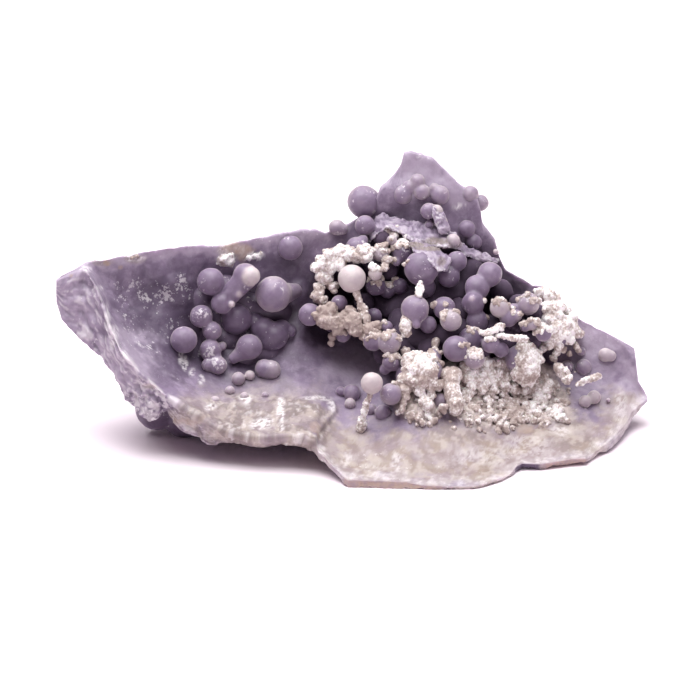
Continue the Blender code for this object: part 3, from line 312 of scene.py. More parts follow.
# Balls on the wall: across, up, how far the centre stands proud of the wall, radius, tone from 0 (dark) to 1.
LEFT_HOLLOW = (
    (-12.8, 24.3, 4.2, 3, 0.42), (-17.4, 27.4, 4, 2.1, 0.3), (-16.5, 27.3, 5.6, 1.55, 0.95),
    (-21.4, 22.8, 4.2, 1.75, 0.2), (-18.6, 24.4, 5.5, 0.5, 0.9), (-19.7, 22.6, 5.8, 0.5, 0.9),
    (-19, 20.2, 2.2, 2.6, 0.05), (-15.8, 19.8, 1.5, 1.5, 0), (-9.9, 18, 1.6, 0.8, 0.1),
    (-14.3, 18.2, 1.9, 2.2, 0.06), (-12.6, 17.4, 1.7, 2.3, 0.08), (-11.5, 18.4, 1.2, 1.7, 0.05),
    (-13.5, 16.6, 1.5, 1.8, 0.06), (-14.3, 11.9, 1.1, 1.6, 0.4), (-13.1, 11.7, 1.2, 1.55, 0.55),
    (-16.8, 15.5, 3.2, 2.15, 0.3), (-27.7, 16.7, 2.8, 2.25, 0.3), (-24.8, 20.6, 3.8, 1.9, 0.25),
    (-23, 18.2, 3.6, 1.6, 0.3), (-23.3, 15, 2.2, 1.8, 0.35), (-21.4, 15.6, 2.4, 0.6, 0.5),
    (-22, 12.4, 1.6, 1.5, 0.45), (-23.6, 12.5, 1, 1.1, 0.4), (-23.2, 26.4, 3, 2.3, 0.2),
    (-18.6, 10.2, 1, 1.1, 0.6), (-16.7, 10.8, 1, 0.8, 0.75), (-14.1, 7.4, 0.2, 0.6, 0.6),
    (-20, 8.2, 0.3, 0.8, 0.7), (-17.6, 7.2, 0.2, 0.75, 0.7), (-22.4, 6.5, 0.2, 0.85, 0.7),
    (-10, 32.1, 0.3, 2.1, 0.3), (-21.3, 15.7, 2, 0.65, 0.5),
)
# The dark mass that they sit on, given the same way; where it lies deep it gets painted shade.
LEFT_BACK = (
    (-18.4, 22, -0.6, 3, 0.1), (-15, 21.6, -1.2, 3.2, 0.06), (-21.6, 20.2, -0.8, 2.6, 0.12),
    (-20.6, 16.8, -0.8, 2.2, 0.15), (-24.6, 23.4, -0.8, 2.6, 0.1), (-17, 18, -1.2, 2.4, 0.05),
    (-12.2, 21.4, -1.8, 2.8, 0.06), (-17.4, 13.6, -1, 2, 0.25), (-14, 14.6, -1.4, 2.4, 0.15),
    (-23.2, 17, -1, 2.2, 0.15), (-21, 25.4, -0.6, 2.4, 0.1), (-10.4, 17.4, -1.4, 2, 0.08),
)
# Low swellings of the wall: across, up, half width, height.
SWELLINGS = (
    (-28.4, 25, 3.4, 1.3), (-31.6, 20.4, 5, 1), (-30.4, 27.4, 3.8, 0.8), (-8.4, 24.8, 2.4, 1),
    (-26.6, 22.4, 3, 0.7), (5.8, 40.8, 4.2, 1.5), (9, 41.4, 3.4, 0.9), (12, 42, 3.8, 0.8),
    (15.2, 41.2, 3, 0.7), (33, 11, 4, 0.6), (-34.6, 14.6, 4, 0.6), (20.8, 40.4, 2.4, 0.5),
)
DOME_POWER = 1.6
# Lobes between two places: across, up, proud and radius at both ends, then the tone.
LEFT_LOBES = (
    (-12, 24.2, 3.6, 2.2, -9.2, 24.9, 0.6, 1.2, 0.35), (-17.6, 26.8, 4, 1.9, -21.2, 22.9, 4, 1.5, 0.22),
    (-17, 15.2, 3, 1.7, -19.4, 13.6, 1.6, 0.9, 0.35), (-23.3, 15, 2, 1.2, -22, 12.6, 1.4, 1.1, 0.3),
)
# Balls below the peak and along the upper edge, and the lobes among them.
HIGH_WALL = (
    (-2.2, 35.5, 0.5, 1.35, 0.55), (-1.2, 35.2, 1, 0.85, 0.5), (2.5, 35.8, 2.6, 1.7, 0.3),
    (5.4, 34.4, 1.4, 1.9, 0.25), (2.3, 39.8, 0.9, 2.75, 0.35), (8.8, 41, 0.4, 1.65, 0.4),
    (9.9, 42.2, 0.4, 1.2, 0.45), (11.3, 43.2, 0.5, 1.2, 0.5), (12, 41.4, 0.9, 1.3, 0.5),
    (14, 42.1, 0.5, 0.75, 0.5), (15, 40.9, 0.6, 1.6, 0.45), (13.1, 38.2, 2.2, 1.35, 0.35),
    (14.6, 38.3, 2.2, 0.95, 0.9), (15.2, 36.4, 2, 1.1, 0.85), (13.2, 35.9, 1.6, 0.75, 0.4),
    (17.2, 33.2, 3.4, 1.2, 0.7), (20.1, 41.1, -0.3, 1.4, 0.5), (21.8, 39.6, -0.4, 1.4, 0.5),
    (19.5, 35.3, 0.1, 1.45, 0.25), (20.7, 33.1, -0.3, 1.3, 0.15), (24.4, 31.4, 0, 0.5, 0.9),
)
HIGH_LOBES = ((9.2, 41.6, -0.3, 1.1, 14.8, 41, -0.3, 1.1, 0.35), (3, 40, -0.6, 2, 4.6, 39, -1.6, 1.6, 0.3))
# Balls on the floor of the hollow and on the right wing.
FLOOR = (
    (0.3, 7.9, 1, 1.4, 0.4), (0, 6.1, 0.9, 0.9, 0.7), (-1.6, 8.1, 0.6, 0.8, 0.4), (5.5, 4.5, 0.2, 1.4, 0.4),
    (3.5, 5, 0.1, 1, 0.5), (36.3, 12.3, 0.7, 1, 0.5), (39, 12.2, 0.3, 1.3, 0.45),
    (38.6, 14.8, 0.5, 0.75, 0.4), (39.2, 6.4, 0.9, 1.05, 0.75), (40.7, 7.1, 0.9, 1.15, 0.75),
    (43.1, 6.6, 0.2, 0.35, 0.7), (42.6, 14.2, 0.4, 1.15, 0.75), (43.6, 14, 0.3, 0.9, 0.75),
)

# Balls of the heap in the middle: across, up, away, radius, tone.
HEAP = (
    (0.3, 26.9, -2.2, 2.33, 0.95), (4.2, 27.7, -1.2, 1.15, 0.85), (5.1, 31.2, 1.2, 1.5, 0.75),
    (1.1, 32, 3.2, 1.85, 0.3), (2.2, 33.4, 3.6, 0.8, 0.4), (7, 33.3, 2, 0.85, 0.7),
    (8.7, 31.4, 2.6, 1.8, 0.1), (7.7, 29.7, 1.6, 0.7, 0.4), (4.3, 25.7, 1.6, 1.67, 0.08),
    (6.2, 24.9, 3.2, 1.3, 0), (-1.8, 22.8, -0.6, 1.35, 0.3), (-6.7, 20.9, -0.2, 1.9, 0.28),
    (-1.2, 17.7, -0.5, 1.4, 0.3), (4, 20.7, 0.6, 1.3, 0.1), (3.9, 16.5, -3.5, 1.67, 0.3),
    (6.6, 16.3, -4.8, 1.95, 0.55), (6.1, 18.8, -2.5, 1.05, 0.3), (6.9, 13, -5, 1.5, 0.3),
    (5.8, 11.8, -4, 0.9, 0.3), (10.8, 21.8, -3.6, 2.35, 0.4), (11, 19.3, -4.8, 0.7, 0.5),
    (13, 19.2, -2.2, 1.45, 0.2), (11.9, 28.6, -0.4, 2.9, 0.24), (12.6, 25.4, 1.2, 1.7, 0.15),
    (8.3, 25.7, 3.6, 1.35, 0), (16.5, 27.3, 1.4, 1.85, 0.12), (17.8, 29.8, 1.8, 1.7, 0.22),
    (15.7, 22, -2, 1.88, 0.25), (16.8, 19.9, -4, 1.8, 0.65), (21.2, 19.8, -0.8, 1.83, 0.15),
    (20.5, 22.8, -1.6, 1.88, 0.06), (20.3, 23.5, -3.4, 0.35, 1), (21.2, 25.4, 0, 2.1, 0.25),
    (23.3, 27.6, 0.8, 2.1, 0.33), (24.9, 22, -2.6, 1.62, 0.7), (27.2, 21.8, -1.6, 0.95, 0.3),
    (26.4, 20.2, -2.2, 1.4, 0.3), (27.8, 20.7, -2.6, 0.8, 0.6), (29.7, 22.7, -1.2, 1.87, 0.55),
    (29.1, 18.9, -2.8, 0.85, 0.4), (30.5, 19.3, -3, 1, 0.6), (32.2, 17.8, -2.6, 1.4, 0.3),
    (17.6, 15.2, -5.2, 2.2, 0.25), (20, 16.8, -2.6, 2, 0.08), (23.4, 16, -4, 1.5, 0.35),
    (25.2, 15, -3.6, 1.25, 0.04), (20.7, 13.5, -5.2, 1.7, 0.5), (14, 14, -4.6, 1.2, 0.3),
    (6.8, 7.7, -9, 1.83, 0.42), (3.6, 9.5, -11, 1.83, 0.95), (12.6, 11.6, -5.4, 2.9, 0.4),
    (9.4, 10.6, -4.6, 1.8, 0.35), (28.4, 13.4, -1, 2.6, 0.4), (15, 6.6, -6.6, 1.3, 0.5),
    (33.4, 21.2, 2.6, 2, 0.3), (35, 17.6, 2.8, 2, 0.3),
)
# Darker balls behind them that close the heap, in painted shade: across, up, away, radius, tone.
HEAP_BACK = (
    (7.2, 22, 3, 1.6, 0), (8.6, 17, -1, 1.7, 0.1), (-2.8, 19.6, 0.6, 1.6, 0.2), (17, 24.6, 2.8, 1.7, 0),
    (23.6, 19, 0.4, 1.7, 0.08), (2.2, 23, 1.8, 1.3, 0.08), (5, 22.8, 4.8, 1.9, 0),
    (8.6, 19.8, 0.6, 1.8, 0.1), (11.4, 16.6, -1, 2.2, 0.15), (14.2, 17.2, -1.6, 1.7, 0.12),
    (13.4, 22.6, 1.6, 2, 0.1), (18.4, 21.4, 0.6, 1.9, 0.12), (14.2, 25, 2.6, 1.9, 0.1),
    (19, 26.6, 4.6, 1.8, 0), (9.4, 24, 3.6, 1.7, 0), (18.4, 18.2, -1.6, 1.6, 0.15),
    (22.6, 17.8, -1.4, 1.5, 0.2), (25.4, 18, -0.6, 1.6, 0.12), (4.6, 18.6, -0.8, 1.5, 0.15),
    (2, 20.6, -0.6, 1.4, 0.12), (27.6, 19, -0.4, 1.5, 0.15), (3.6, 29.8, 2.8, 1.7, 0.12),
    (6.4, 28.4, 2.2, 1.6, 0.12), (15, 29, 3.8, 1.9, 0.05), (20.4, 28.8, 4.8, 1.8, 0),
    (25.2, 25, 3.8, 1.8, 0.05), (28.4, 22.6, 1.4, 1.6, 0.2), (31.2, 21, 0.4, 1.7, 0.25),
    (30.2, 16.8, -1.4, 1.6, 0.2), (26.4, 16.4, -2.2, 1.3, 0.15), (21.8, 15, -3.2, 1.5, 0.2),
    (16.2, 17.4, -3, 1.3, 0.15), (13.2, 14.8, -3.4, 1.5, 0.2), (9.6, 13.6, -3.4, 1.5, 0.2),
    (8.4, 15, -2.6, 1.5, 0.12), (5.4, 14.2, -2.4, 1.3, 0.2),
)
# Balls nearer than this stand on their own stalk.
LOW_STAND = -10
# The rows of balls that carry the others: their size, how close they follow, how far each is off the line,
# all as shares of the ball's radius, and how deep the last is sunk.
CARRIER_SEED = 33
CARRIER_SHARE = 0.74
CARRIER_SIZES = (0.8, 1)
CARRIER_STEP = 0.95
CARRIER_OFF = 0.17
CARRIER_SUNK = 0.2
CARRIER_LEAST = 0.2
# How uneven the balls are, in mm, and the least of the flecks on them.
UNEVEN_HEIGHT = 0.06
BALL_DUST = 0.35
# How near the wall, in mm, the balls of the heap turn dark in the gaps, and the gloom of the row behind.
# Both are painted shade.
HEAP_DEPTHS = (2, 6)
HEAP_GLOOM = 0.85
# How far a gloomy row moves back, and how deep it may sink into the wall.
GLOOM_BACK = 2
GLOOM_SUNK = 0.3
# Thin pale stalks, each a chain of points: across, up, away, radius.
STALKS = (
    ((3.5, 8.2, -10.8, 0.45), (3.2, 7.2, -10.4, 0.36), (2.7, 6, -10, 0.5), (2.4, 4.6, -9.6, 0.42),
     (2, 3.2, -9, 0.55), (1.8, 1.9, -8.4, 0.75)),
    ((1, 25, -2.4, 0.5), (1.5, 23.5, -2.3, 0.45), (1.9, 22.2, -2.3, 0.6), (2.4, 21, -2.5, 0.55),
     (2.8, 19.8, -2.8, 0.7)),
    ((11.8, 26.3, -3, 0.3), (11.6, 25.4, -3.8, 0.6), (11.3, 24.2, -4.4, 0.5)),
    ((9.4, 20.9, -4, 0.3), (9.2, 19.7, -4.6, 0.7), (9.1, 18.6, -4.8, 0.85), (9.6, 17.7, -4.6, 0.6)),
    ((3.8, 29.4, -1.6, 0.3), (3.8, 28.8, -1.9, 0.6)),
    ((24.5, 17.4, -4.4, 0.35), (27, 17, -4.8, 0.42), (29.2, 16.9, -5, 0.45)),
    ((22.4, 17.7, -4.6, 0.5), (23.6, 18.2, -4.6, 0.4), (25.2, 18.9, -4.4, 0.55)),
    ((34.6, 12, 0.4, 0.8), (35.9, 11, 0.4, 0.8), (36.3, 10, 0, 0.7)),
    ((38, 9.4, 0, 0.35), (39.6, 10, 0.1, 0.5), (41.4, 10.6, 0.3, 0.4)),
)

# White granular crust: lumps that the grains grow on, as across, up, away, radius.
ARCH = (
    (-5.6, 28.8, 0, 0.9), (-4.6, 29.6, 0.2, 1.2), (-3.2, 30.4, 0.4, 1.4), (-1.8, 30.9, 0.4, 1.4),
    (-0.2, 31, 0.2, 1.3), (1, 30.6, -0.2, 1.1), (2.3, 31, -0.4, 1.45), (-3.4, 28.7, 0.2, 1.1),
    (-4.9, 27.4, 0.2, 1), (-3.9, 26.9, 0.4, 0.9), (-5.2, 25.2, 0.2, 0.8), (-5.4, 24, 0.2, 0.9),
    (-4.6, 23.2, 0.2, 0.8), (-3, 25.6, 0.8, 0.8), (-1.6, 29.3, -0.2, 1), (5.8, 28.8, -0.2, 0.6),
    (6.2, 30, 0.2, 0.6), (5.8, 32.4, 0.8, 0.6),
)
CLUMP = (
    (-5.4, 20.7, -2, 0.7), (-4.4, 21.3, -2, 1.1), (-3.2, 21.6, -2, 1.1), (-4.2, 19.8, -2, 1.2),
    (-2.7, 19.8, -2.3, 1.3), (-1.9, 18.6, -2.4, 1), (0.4, 19.8, -3.2, 1.5), (0.9, 18.6, -3.3, 1.3),
    (-0.8, 20.6, -2.2, 1), (-2.9, 17.2, -1.2, 0.6), (-3.2, 16.2, -0.8, 0.4), (0, 21.4, -2.6, 0.8),
    (3.3, 18.5, -3.6, 1.1), (4.5, 18.9, -3.4, 0.8), (2.4, 17.2, -3.2, 0.7), (2.8, 16.2, -3.4, 0.5),
)
# The same, but across, up, proud of the wall, radius.
CRUST_MIDDLE = (
    (9.6, 13.4, 5.8, 1.2), (10.6, 13.3, 7.2, 1.5), (12, 12.9, 7.4, 1.6), (11.2, 11.6, 7.6, 1.6),
    (12.8, 11.4, 7.4, 1.6), (10, 11.8, 6.8, 1.3), (10.2, 10.2, 6.6, 1.3), (11.8, 10.2, 6.8, 1.3),
    (13.4, 10, 6.2, 1.2), (8.9, 10.4, 6, 0.9), (8.2, 9.4, 5.6, 0.7), (9.1, 8.4, 5.2, 0.9),
    (9.4, 7.2, 4.4, 0.6), (8.9, 6.2, 3.6, 0.6), (8.6, 5.2, 2.8, 0.6), (7.9, 4.6, 2, 0.4),
    (10.4, 8.9, 5, 0.8), (11.6, 8.2, 4.8, 0.9), (13.4, 8.9, 5, 0.9), (12.2, 6.6, 3.8, 0.9),
    (13, 5.8, 3.2, 0.9), (13.6, 7.4, 3.8, 0.7), (14.6, 9.2, 4.6, 1), (15.4, 5.4, 3, 0.7),
    (11.1, 3.7, 1.4, 0.5), (12, 2.9, 1, 0.5), (12.9, 4.6, 1.4, 0.6), (13.6, 3.9, 1, 0.4),
    (9.4, 14.6, 5.2, 0.8), (14.2, 16.3, 5, 0.7), (14.2, 15, 5, 0.5), (10, 3.2, 0.6, 0.35),
    (22.2, 13.4, 4.8, 1.1), (19, 12.3, 5, 0.9), (21.6, 12, 4.6, 1.1), (24, 11.6, 3.8, 1),
    (32.6, 8.4, 2.4, 0.9), (33.2, 9.3, 2.6, 0.7), (31, 9.5, 2.8, 0.9), (30, 8.4, 2.6, 0.9),
    (31.4, 8, 2.2, 0.9), (32.4, 6.8, 1.8, 0.8), (31, 6.4, 1.6, 0.8), (31.2, 5.2, 1.2, 0.6),
    (34.6, 5.2, 1, 0.9), (34.2, 4.2, 0.8, 0.8), (35.2, 3.6, 0.8, 0.8), (36.2, 3.2, 0.6, 0.5),
)
COLUMN = (
    (16.2, 10.9, 5.2, 1.3), (17.2, 10.8, 5.2, 1.6), (16.8, 9.8, 4.9, 1.6), (16.9, 8.6, 4.4, 1.55),
    (17.1, 7.4, 3.8, 1.6), (17.5, 6.2, 3.1, 1.6), (17.5, 5.2, 2.4, 1.3),
)
# The slope of crust below the heap.
SLOPE = (
    (19.2, 11.6, 4.6, 0.9), (20.6, 11.4, 4.8, 1.1), (22, 11.2, 4.8, 1.1), (23.4, 11.2, 4.8, 1.1),
    (24.8, 11, 4.8, 1.1), (26, 10.4, 4.8, 1), (19.6, 10.2, 4, 0.9), (21, 10, 4.1, 1), (22.6, 9.8, 4.1, 1),
    (24.2, 9.6, 4.1, 1), (25.8, 9, 4, 1), (27.4, 8.6, 3.8, 0.9), (20.2, 8.8, 3.4, 0.8), (22, 8.6, 3.4, 0.8),
    (23.8, 8.4, 3.4, 0.8), (21.4, 12.8, 5.2, 1), (23, 12.6, 5.4, 1.1), (24.8, 12.8, 5.6, 1.2),
    (26.2, 12, 5.4, 1), (29, 8.4, 3.6, 0.8),
)
# White bits on the left rim and below the ledge.
SMALL_CRUST = (
    (-21.2, 30.2, -0.2, 1.2), (-20.3, 29.9, -0.2, 1.1), (-20.1, 30.8, -0.2, 0.8), (-16.9, 30.4, -0.1, 0.5),
    (-15.8, 30.8, -0.1, 0.5), (-14.9, 31.2, -0.1, 0.4), (6.4, 35, 2.4, 0.6), (7.4, 34.2, 2.8, 0.7),
    (8.6, 34.8, 3, 0.5), (7.8, 35.4, 2.6, 0.5), (9.4, 33.9, 3.2, 0.5), (6.6, 33.2, 2.6, 0.5),
    (-35.6, 30.6, 0, 0.4), (-36.4, 30.4, 0, 0.35),
)
# The white mass and the boulder on the right.
CRUST_RIGHT = (
    (30.5, 16.9, 7.4, 1), (29.4, 16.4, 7.6, 0.8), (31.6, 24.6, 4.4, 0.9), (32.6, 25, 3.8, 0.7),
    (33.2, 23.9, 4, 1.2), (34.3, 23.6, 2.6, 0.8), (32.4, 22.2, 5, 0.9), (33.6, 21.8, 5, 1.3),
    (31.6, 21, 5.4, 0.8), (33, 20.2, 5.8, 1.3), (34.4, 20.4, 5.2, 1.3), (35.8, 19.4, 4.8, 1.3),
    (34.2, 18.8, 5.8, 1.4), (36.8, 18.6, 4.2, 1.2), (37.6, 17.8, 3.8, 0.9), (35.4, 17.8, 5.2, 1.3),
    (34, 17.2, 5.8, 1.2), (36.6, 16.8, 4.2, 0.9), (33.2, 16, 5.8, 1), (34.6, 15.8, 5, 0.9),
    (32.2, 15.4, 5.8, 0.8), (34.4, 14.6, 4.4, 0.6), (34, 13.6, 3.8, 0.6), (37.8, 15.6, 3.2, 0.5),
    (38.2, 14.9, 2.8, 0.4), (35.6, 15, 4, 0.5), (36.6, 14.4, 3.2, 0.4), (38.6, 17.6, 3, 0.5),
    (36.2, 21.6, 3, 0.8), (31.2, 19, 5.4, 0.6), (35, 22.2, 4.2, 1.1), (33.8, 19, 5.6, 1.4),
    (37, 20.2, 3.6, 1),
)
BOULDER = (
    (29.2, 14.8, 8.6, 1.9), (29.2, 13.2, 8.6, 2.4), (28.4, 13.2, 8.4, 1.9), (29.6, 11.8, 8, 2.2),
    (28.6, 11.4, 7.8, 1.9), (30.2, 13.6, 8.2, 2), (29.4, 10.6, 7, 1.7),
)
# The pieces of crust on the wall: name, lumps, seed, and how coarse they are.
WALL_CRUSTS = (
    ("middle_crust", CRUST_MIDDLE, 8, 1.0), ("column_crust", COLUMN, 12, 0.2),
    ("right_crust", CRUST_RIGHT, 9, 1.0), ("boulder_crust", BOULDER, 10, 0.7),
    ("slope_crust", SLOPE, 18, 1.0), ("small_crust", SMALL_CRUST, 19, 0.8),
)
# Granular floor: the plate is raised in these ellipses: across, up, half width, half height, rise in mm.
BANK = (
    (25, 8.4, 9.5, 6.4, 2.4), (20.5, 11, 5.5, 4, 1.6), (11.5, 7.4, 4.5, 4.6, 1.8), (33, 6, 4.5, 4, 0.7),
)
# Grains strewn on it: across, up, half width, half height, how far the grains stand proud, how many.
GRAVEL = (
    (25, 8.2, 8.6, 5.6, -0.3, 520), (20.5, 10.8, 4.6, 3.4, -0.2, 140), (31.8, 6, 4.4, 4, -0.2, 130),
    (21, 3, 8, 1.8, -0.3, 50), (11.5, 6.4, 4.4, 4.2, -0.1, 100), (36, 9.5, 3, 2.2, -0.1, 16),
)
# Where grains are sprinkled on the balls of the heap, and how many on a ball of 1 mm radius.
SPRINKLED = (
    (3.8, 18, 2.6, 2, 0.8), (6.2, 30.6, 3, 2.2, 0.8), (25, 18.6, 4, 1.8, 0.7), (20.4, 14.4, 3, 1.8, 0.9),
    (31, 20.6, 3.6, 3.6, 0.9), (15.4, 21.2, 1.8, 1.8, 0.8), (8.4, 14.8, 2.6, 2, 0.8),
    (4.4, 25.8, 2.6, 2, 0.5), (24.6, 23.2, 2.2, 1.2, 0.6), (-1.4, 17.6, 1.8, 1.6, 0.6),
    (12.6, 11.6, 3.4, 3, 0.9), (33, 14, 3, 2.6, 0.9), (8.6, 32.6, 2.4, 1.2, 0.7), (14, 16.4, 1.6, 1.2, 0.6),
)
SPRINKLE_COUNT = 26
SPRINKLE_SEED = 55
# Sizes of the crust's strewn grains in mm, as the least and the largest, then of the sprinkled ones and the
# gravel, as the least and how much larger the largest is.
STREWN_SIZES = (0.18, 0.45)
SPRINKLE_SIZES = (0.16, 0.3)
GRAVEL_SIZES = (0.18, 0.42)
GRAVEL_SEED = 77
# Heights of the crust's relief in mm: coarse domes, fine domes and noise.
CRUST_HEIGHTS = (0.2, 0.12, 0.2)
CRUST_DOME_MIDDLE = 0.55
# How near the wall, in mm, the crust turns dark with painted shade in the gaps.
CRUST_DEPTHS = (1.5, 4)
# White places of the crust, which is beige elsewhere.
WHITE = (
    (-2, 29.6, 6.5, 3.4, 1), (3.4, 31, 2.4, 2.4, 0.9), (-3.6, 20.8, 2.2, 1.4, 0.2),
    (0.6, 20.4, 1.6, 1, 0.2), (10.8, 13, 3.4, 2.6, 1), (12.4, 6.4, 3, 3.4, 0.8), (34.8, 19.4, 4, 4.6, 1.2),
    (33, 23.4, 2.4, 2.2, 0.8), (30.6, 13.6, 2, 3.2, 1), (31.6, 7.2, 3.4, 3.2, 1.1),
    (22.6, 9.6, 6.5, 4, 0.75), (25, 17.6, 4, 1.6, 0.8), (22, 14, 4, 1.6, 0.8), (35, 4.4, 2.4, 1.8, 1),
    (24.6, 17.6, 2.8, 1.6, 0.9), (16.6, 10.8, 1.8, 1.2, 0.4), (3, 4.5, 2.2, 5, 0.9),
    (11.5, 25.2, 1.2, 1.6, 1), (9.2, 19.2, 1.2, 2.2, 1), (22.4, 4.2, 7, 1.6, 0.5), (-19, 30.4, 6, 1.6, 1.3),
    (8, 34.4, 3, 2, 0.6), (36, 11, 2, 2, 0.9), (40, 10, 2.6, 1.2, 0.9), (29.6, 16.6, 1.8, 1.2, 1),
)

# Rough pale ledge below the peak with its arm: across, up of the top edge, then of the lower edge, how far
# both stand proud of the wall, and half the thickness.
LEDGE = (
    (2.4, 33.6, 2.8, 33, 1.2, 1.6, 0.25), (3.2, 35.8, 3.6, 33.2, 1, 3, 0.45),
    (4.2, 37, 4.8, 34.4, 1, 3.4, 0.45), (5.3, 37.8, 6.2, 35.4, 1, 3.4, 0.4),
    (7.2, 37, 8.4, 34.6, 1, 3.4, 0.35), (9.4, 36.9, 9.8, 33.7, 1, 3.8, 0.35),
    (11.6, 36.2, 11, 33.2, 1, 4.2, 0.35), (13.4, 35.9, 13, 32.6, 1.2, 4.6, 0.4),
    (15, 35.4, 15, 32.2, 1.4, 4.6, 0.45), (16.4, 35, 16.4, 32, 1.8, 4.4, 0.6),
    (17.6, 34.4, 17.8, 31.9, 2, 3.6, 0.6), (18.6, 32.8, 18.8, 31.2, 1.4, 2.6, 0.4),
    (20.7, 31.8, 20.9, 30.2, 0.8, 1.8, 0.35), (22.8, 30.9, 23, 29.6, 0.5, 1.2, 0.35),
    (25, 30.4, 25, 29.8, -0.2, 0.3, 0.25),
)
SLAB = (
    (9.4, 33.4, 10, 32.2, 4.2, 5.4, 0.25), (11.2, 33.2, 11, 31, 4.8, 7, 0.35),
    (13, 32.7, 13, 29.8, 5.4, 8.2, 0.4), (14.8, 31.9, 14.6, 28.5, 5.8, 8.6, 0.4),
    (16.2, 30.9, 15.7, 28, 6.2, 8.2, 0.4), (16.9, 29.8, 16.6, 28.9, 6.8, 7.4, 0.25),
)
# White chips that lead down to the ledge.
CHIPS = (
    (13, 39.4, 13.4, 38.2, 2.6, 2.8, 0.3), (14.2, 39, 14, 37, 2.8, 3.4, 0.6),
    (15.6, 38, 14, 36.2, 2.6, 3.4, 0.7), (16.2, 36.6, 14.4, 35.4, 2.6, 3.6, 0.7),
    (16.6, 35.4, 15, 34.6, 2.6, 3.8, 0.6), (16.8, 34.6, 15.8, 34, 2.8, 3.6, 0.3),
)

# The sheets: points around, step along, how jagged the edges are, and the weights of lumps and grains.
SHEET_AROUND = 72
SHEET_STEP = 0.13
SHEET_CLOSING = 0.5
SHEET_JAG = 0.42
SHEET_LUMPS, SHEET_GRAINS = 0.26, 0.07

# Round swellings of the underside, behind and below the front edge and at the back: across, up, away, radius.
UNDERSIDE = (
    (-32, 5.5, 1.4, 3.9), (-27.4, 4.6, 1.8, 4.3), (-22.4, 4.4, 2.4, 4.6), (-17.6, 4.6, 3.2, 4.8),
    (-12.4, 4.6, 3.8, 5), (-7.4, 4.4, 3.6, 5), (-13, 6.6, 8, 5), (3, 6.8, 8.6, 5.4), (20, 6.6, 8.4, 5.2),
)

# Half the side of the floor in mm, and its colour and that of the surround, as linear values.
FLOOR_HALF = 3000
FLOOR_COLOUR = (0.96, 0.87, 0.925)
SURROUND_COLOUR = (1.0, 0.84, 0.96)
# The lights: name, place, the height that they are aimed at, and size, in mm.
LIGHTS = (
    ("key", (-90, 25, 480), 10, 530), ("side", (300, 80, 400), 10, 300),
    ("fill", (20, -290, 460), 15, 260),
)
# Width of the camera's sensor in mm, and how far it sees, in metres.
SENSOR_WIDTH = 36.0
VIEW_END = 20.0


def seen(across, up, away):
    """Real place, in mm, of points of the tipped frame: up and away are turned about the long axis."""
    back = up * math.sin(TILT) + away * math.cos(TILT)
    height = up * math.cos(TILT) - away * math.sin(TILT)
    return np.stack([across, back, height], axis=-1)


def tipped(points):
    """The inverse of seen: across, up and away of real places."""
    up = points[..., 2] * math.cos(TILT) + points[..., 1] * math.sin(TILT)
    away = points[..., 1] * math.cos(TILT) - points[..., 2] * math.sin(TILT)
    return points[..., 0], up, away


def line(points, across, column):
    """Value of one column of a driving outline at each place across, straight between its points."""
    table = np.array(points)
    return np.interp(across, table[:, 0], table[:, column])


def eased(points, across, column):
    """The same line averaged over EASE mm to both sides, by weights of a bell curve."""
    steps = np.linspace(-EASE_SPAN, EASE_SPAN, EASE_STEPS)
    weights = np.exp(-(steps**2))
    table = np.array(points)
    near = np.clip(across[..., None] + steps * EASE, table[0, 0], table[-1, 0])
    return np.interp(near, table[:, 0], table[:, column]) @ weights / weights.sum()


# Random slopes to choose from, what brings the noise to about -1 to 1, and places for a grain's centre.
SLOPES = 256
NOISE_GAIN = 1.7
JITTER = 1021


def lattice_hash(cells, seed):
    """A whole number from 0 to 2^31 for each lattice cell, the same each run."""
    mixed = cells[..., 0] * 73856093 ^ cells[..., 1] * 19349663 ^ cells[..., 2] * 83492791
    mixed = (mixed ^ (seed * 668265263 + 374761393)) & 0x7FFFFFFF
    mixed = ((mixed ^ (mixed >> 13)) * 1274126177) & 0x7FFFFFFF
    return ((mixed ^ (mixed >> 16)) * 461845907) & 0x7FFFFFFF


def noise(points, size, seed):
    """Gradient noise, about -1 to 1: at each lattice corner a random slope, faded smoothly between."""
    place = points / size
    cell = np.floor(place).astype(np.int64)
    part = place - cell
    fade = part**3 * (part * (part * 6 - 15) + 10)
    slopes = np.random.default_rng(seed).normal(size=(SLOPES, 3))
    slopes /= np.linalg.norm(slopes, axis=1, keepdims=True)
    total = np.zeros(points.shape[:-1])
    for corner in itertools.product((0, 1), repeat=3):
        corner = np.array(corner)
        slope = slopes[lattice_hash(cell + corner, seed) % SLOPES]
        weight = np.prod(np.where(corner == 1, fade, 1 - fade), axis=-1)
        total += weight * np.sum(slope * (part - corner), axis=-1)
    return total * NOISE_GAIN


def layered_noise(points, size, seed, layers=4, fall=0.5):
    """Sum of noises, each half as large in size and weaker by the fall."""
    total = np.zeros(points.shape[:-1])
    for layer in range(layers):
        total += noise(points, size / 2**layer, seed + layer) * fall**layer
    return total


def grains(points, size, seed):
    """Rounded grains: one centre jittered in each lattice cell; the height is a dome round the nearest."""
    place = points / size
    cell = np.floor(place).astype(np.int64)
    nearest = np.full(points.shape[:-1], 9.0)
    second = np.full(points.shape[:-1], 9.0)
    for offset in itertools.product((-1, 0, 1), repeat=3):
        there = cell + np.array(offset)
        mixed = lattice_hash(there, seed)
        jitter = np.stack([mixed // JITTER**axis % JITTER for axis in range(3)], axis=-1) / JITTER
        apart = np.sum((there + jitter - place) ** 2, axis=-1)
        second = np.minimum(second, np.maximum(nearest, apart))
        nearest = np.minimum(nearest, apart)
    border = np.sqrt(second) - np.sqrt(nearest)
    return np.sqrt(np.clip(1 - nearest, 0, 1)), border


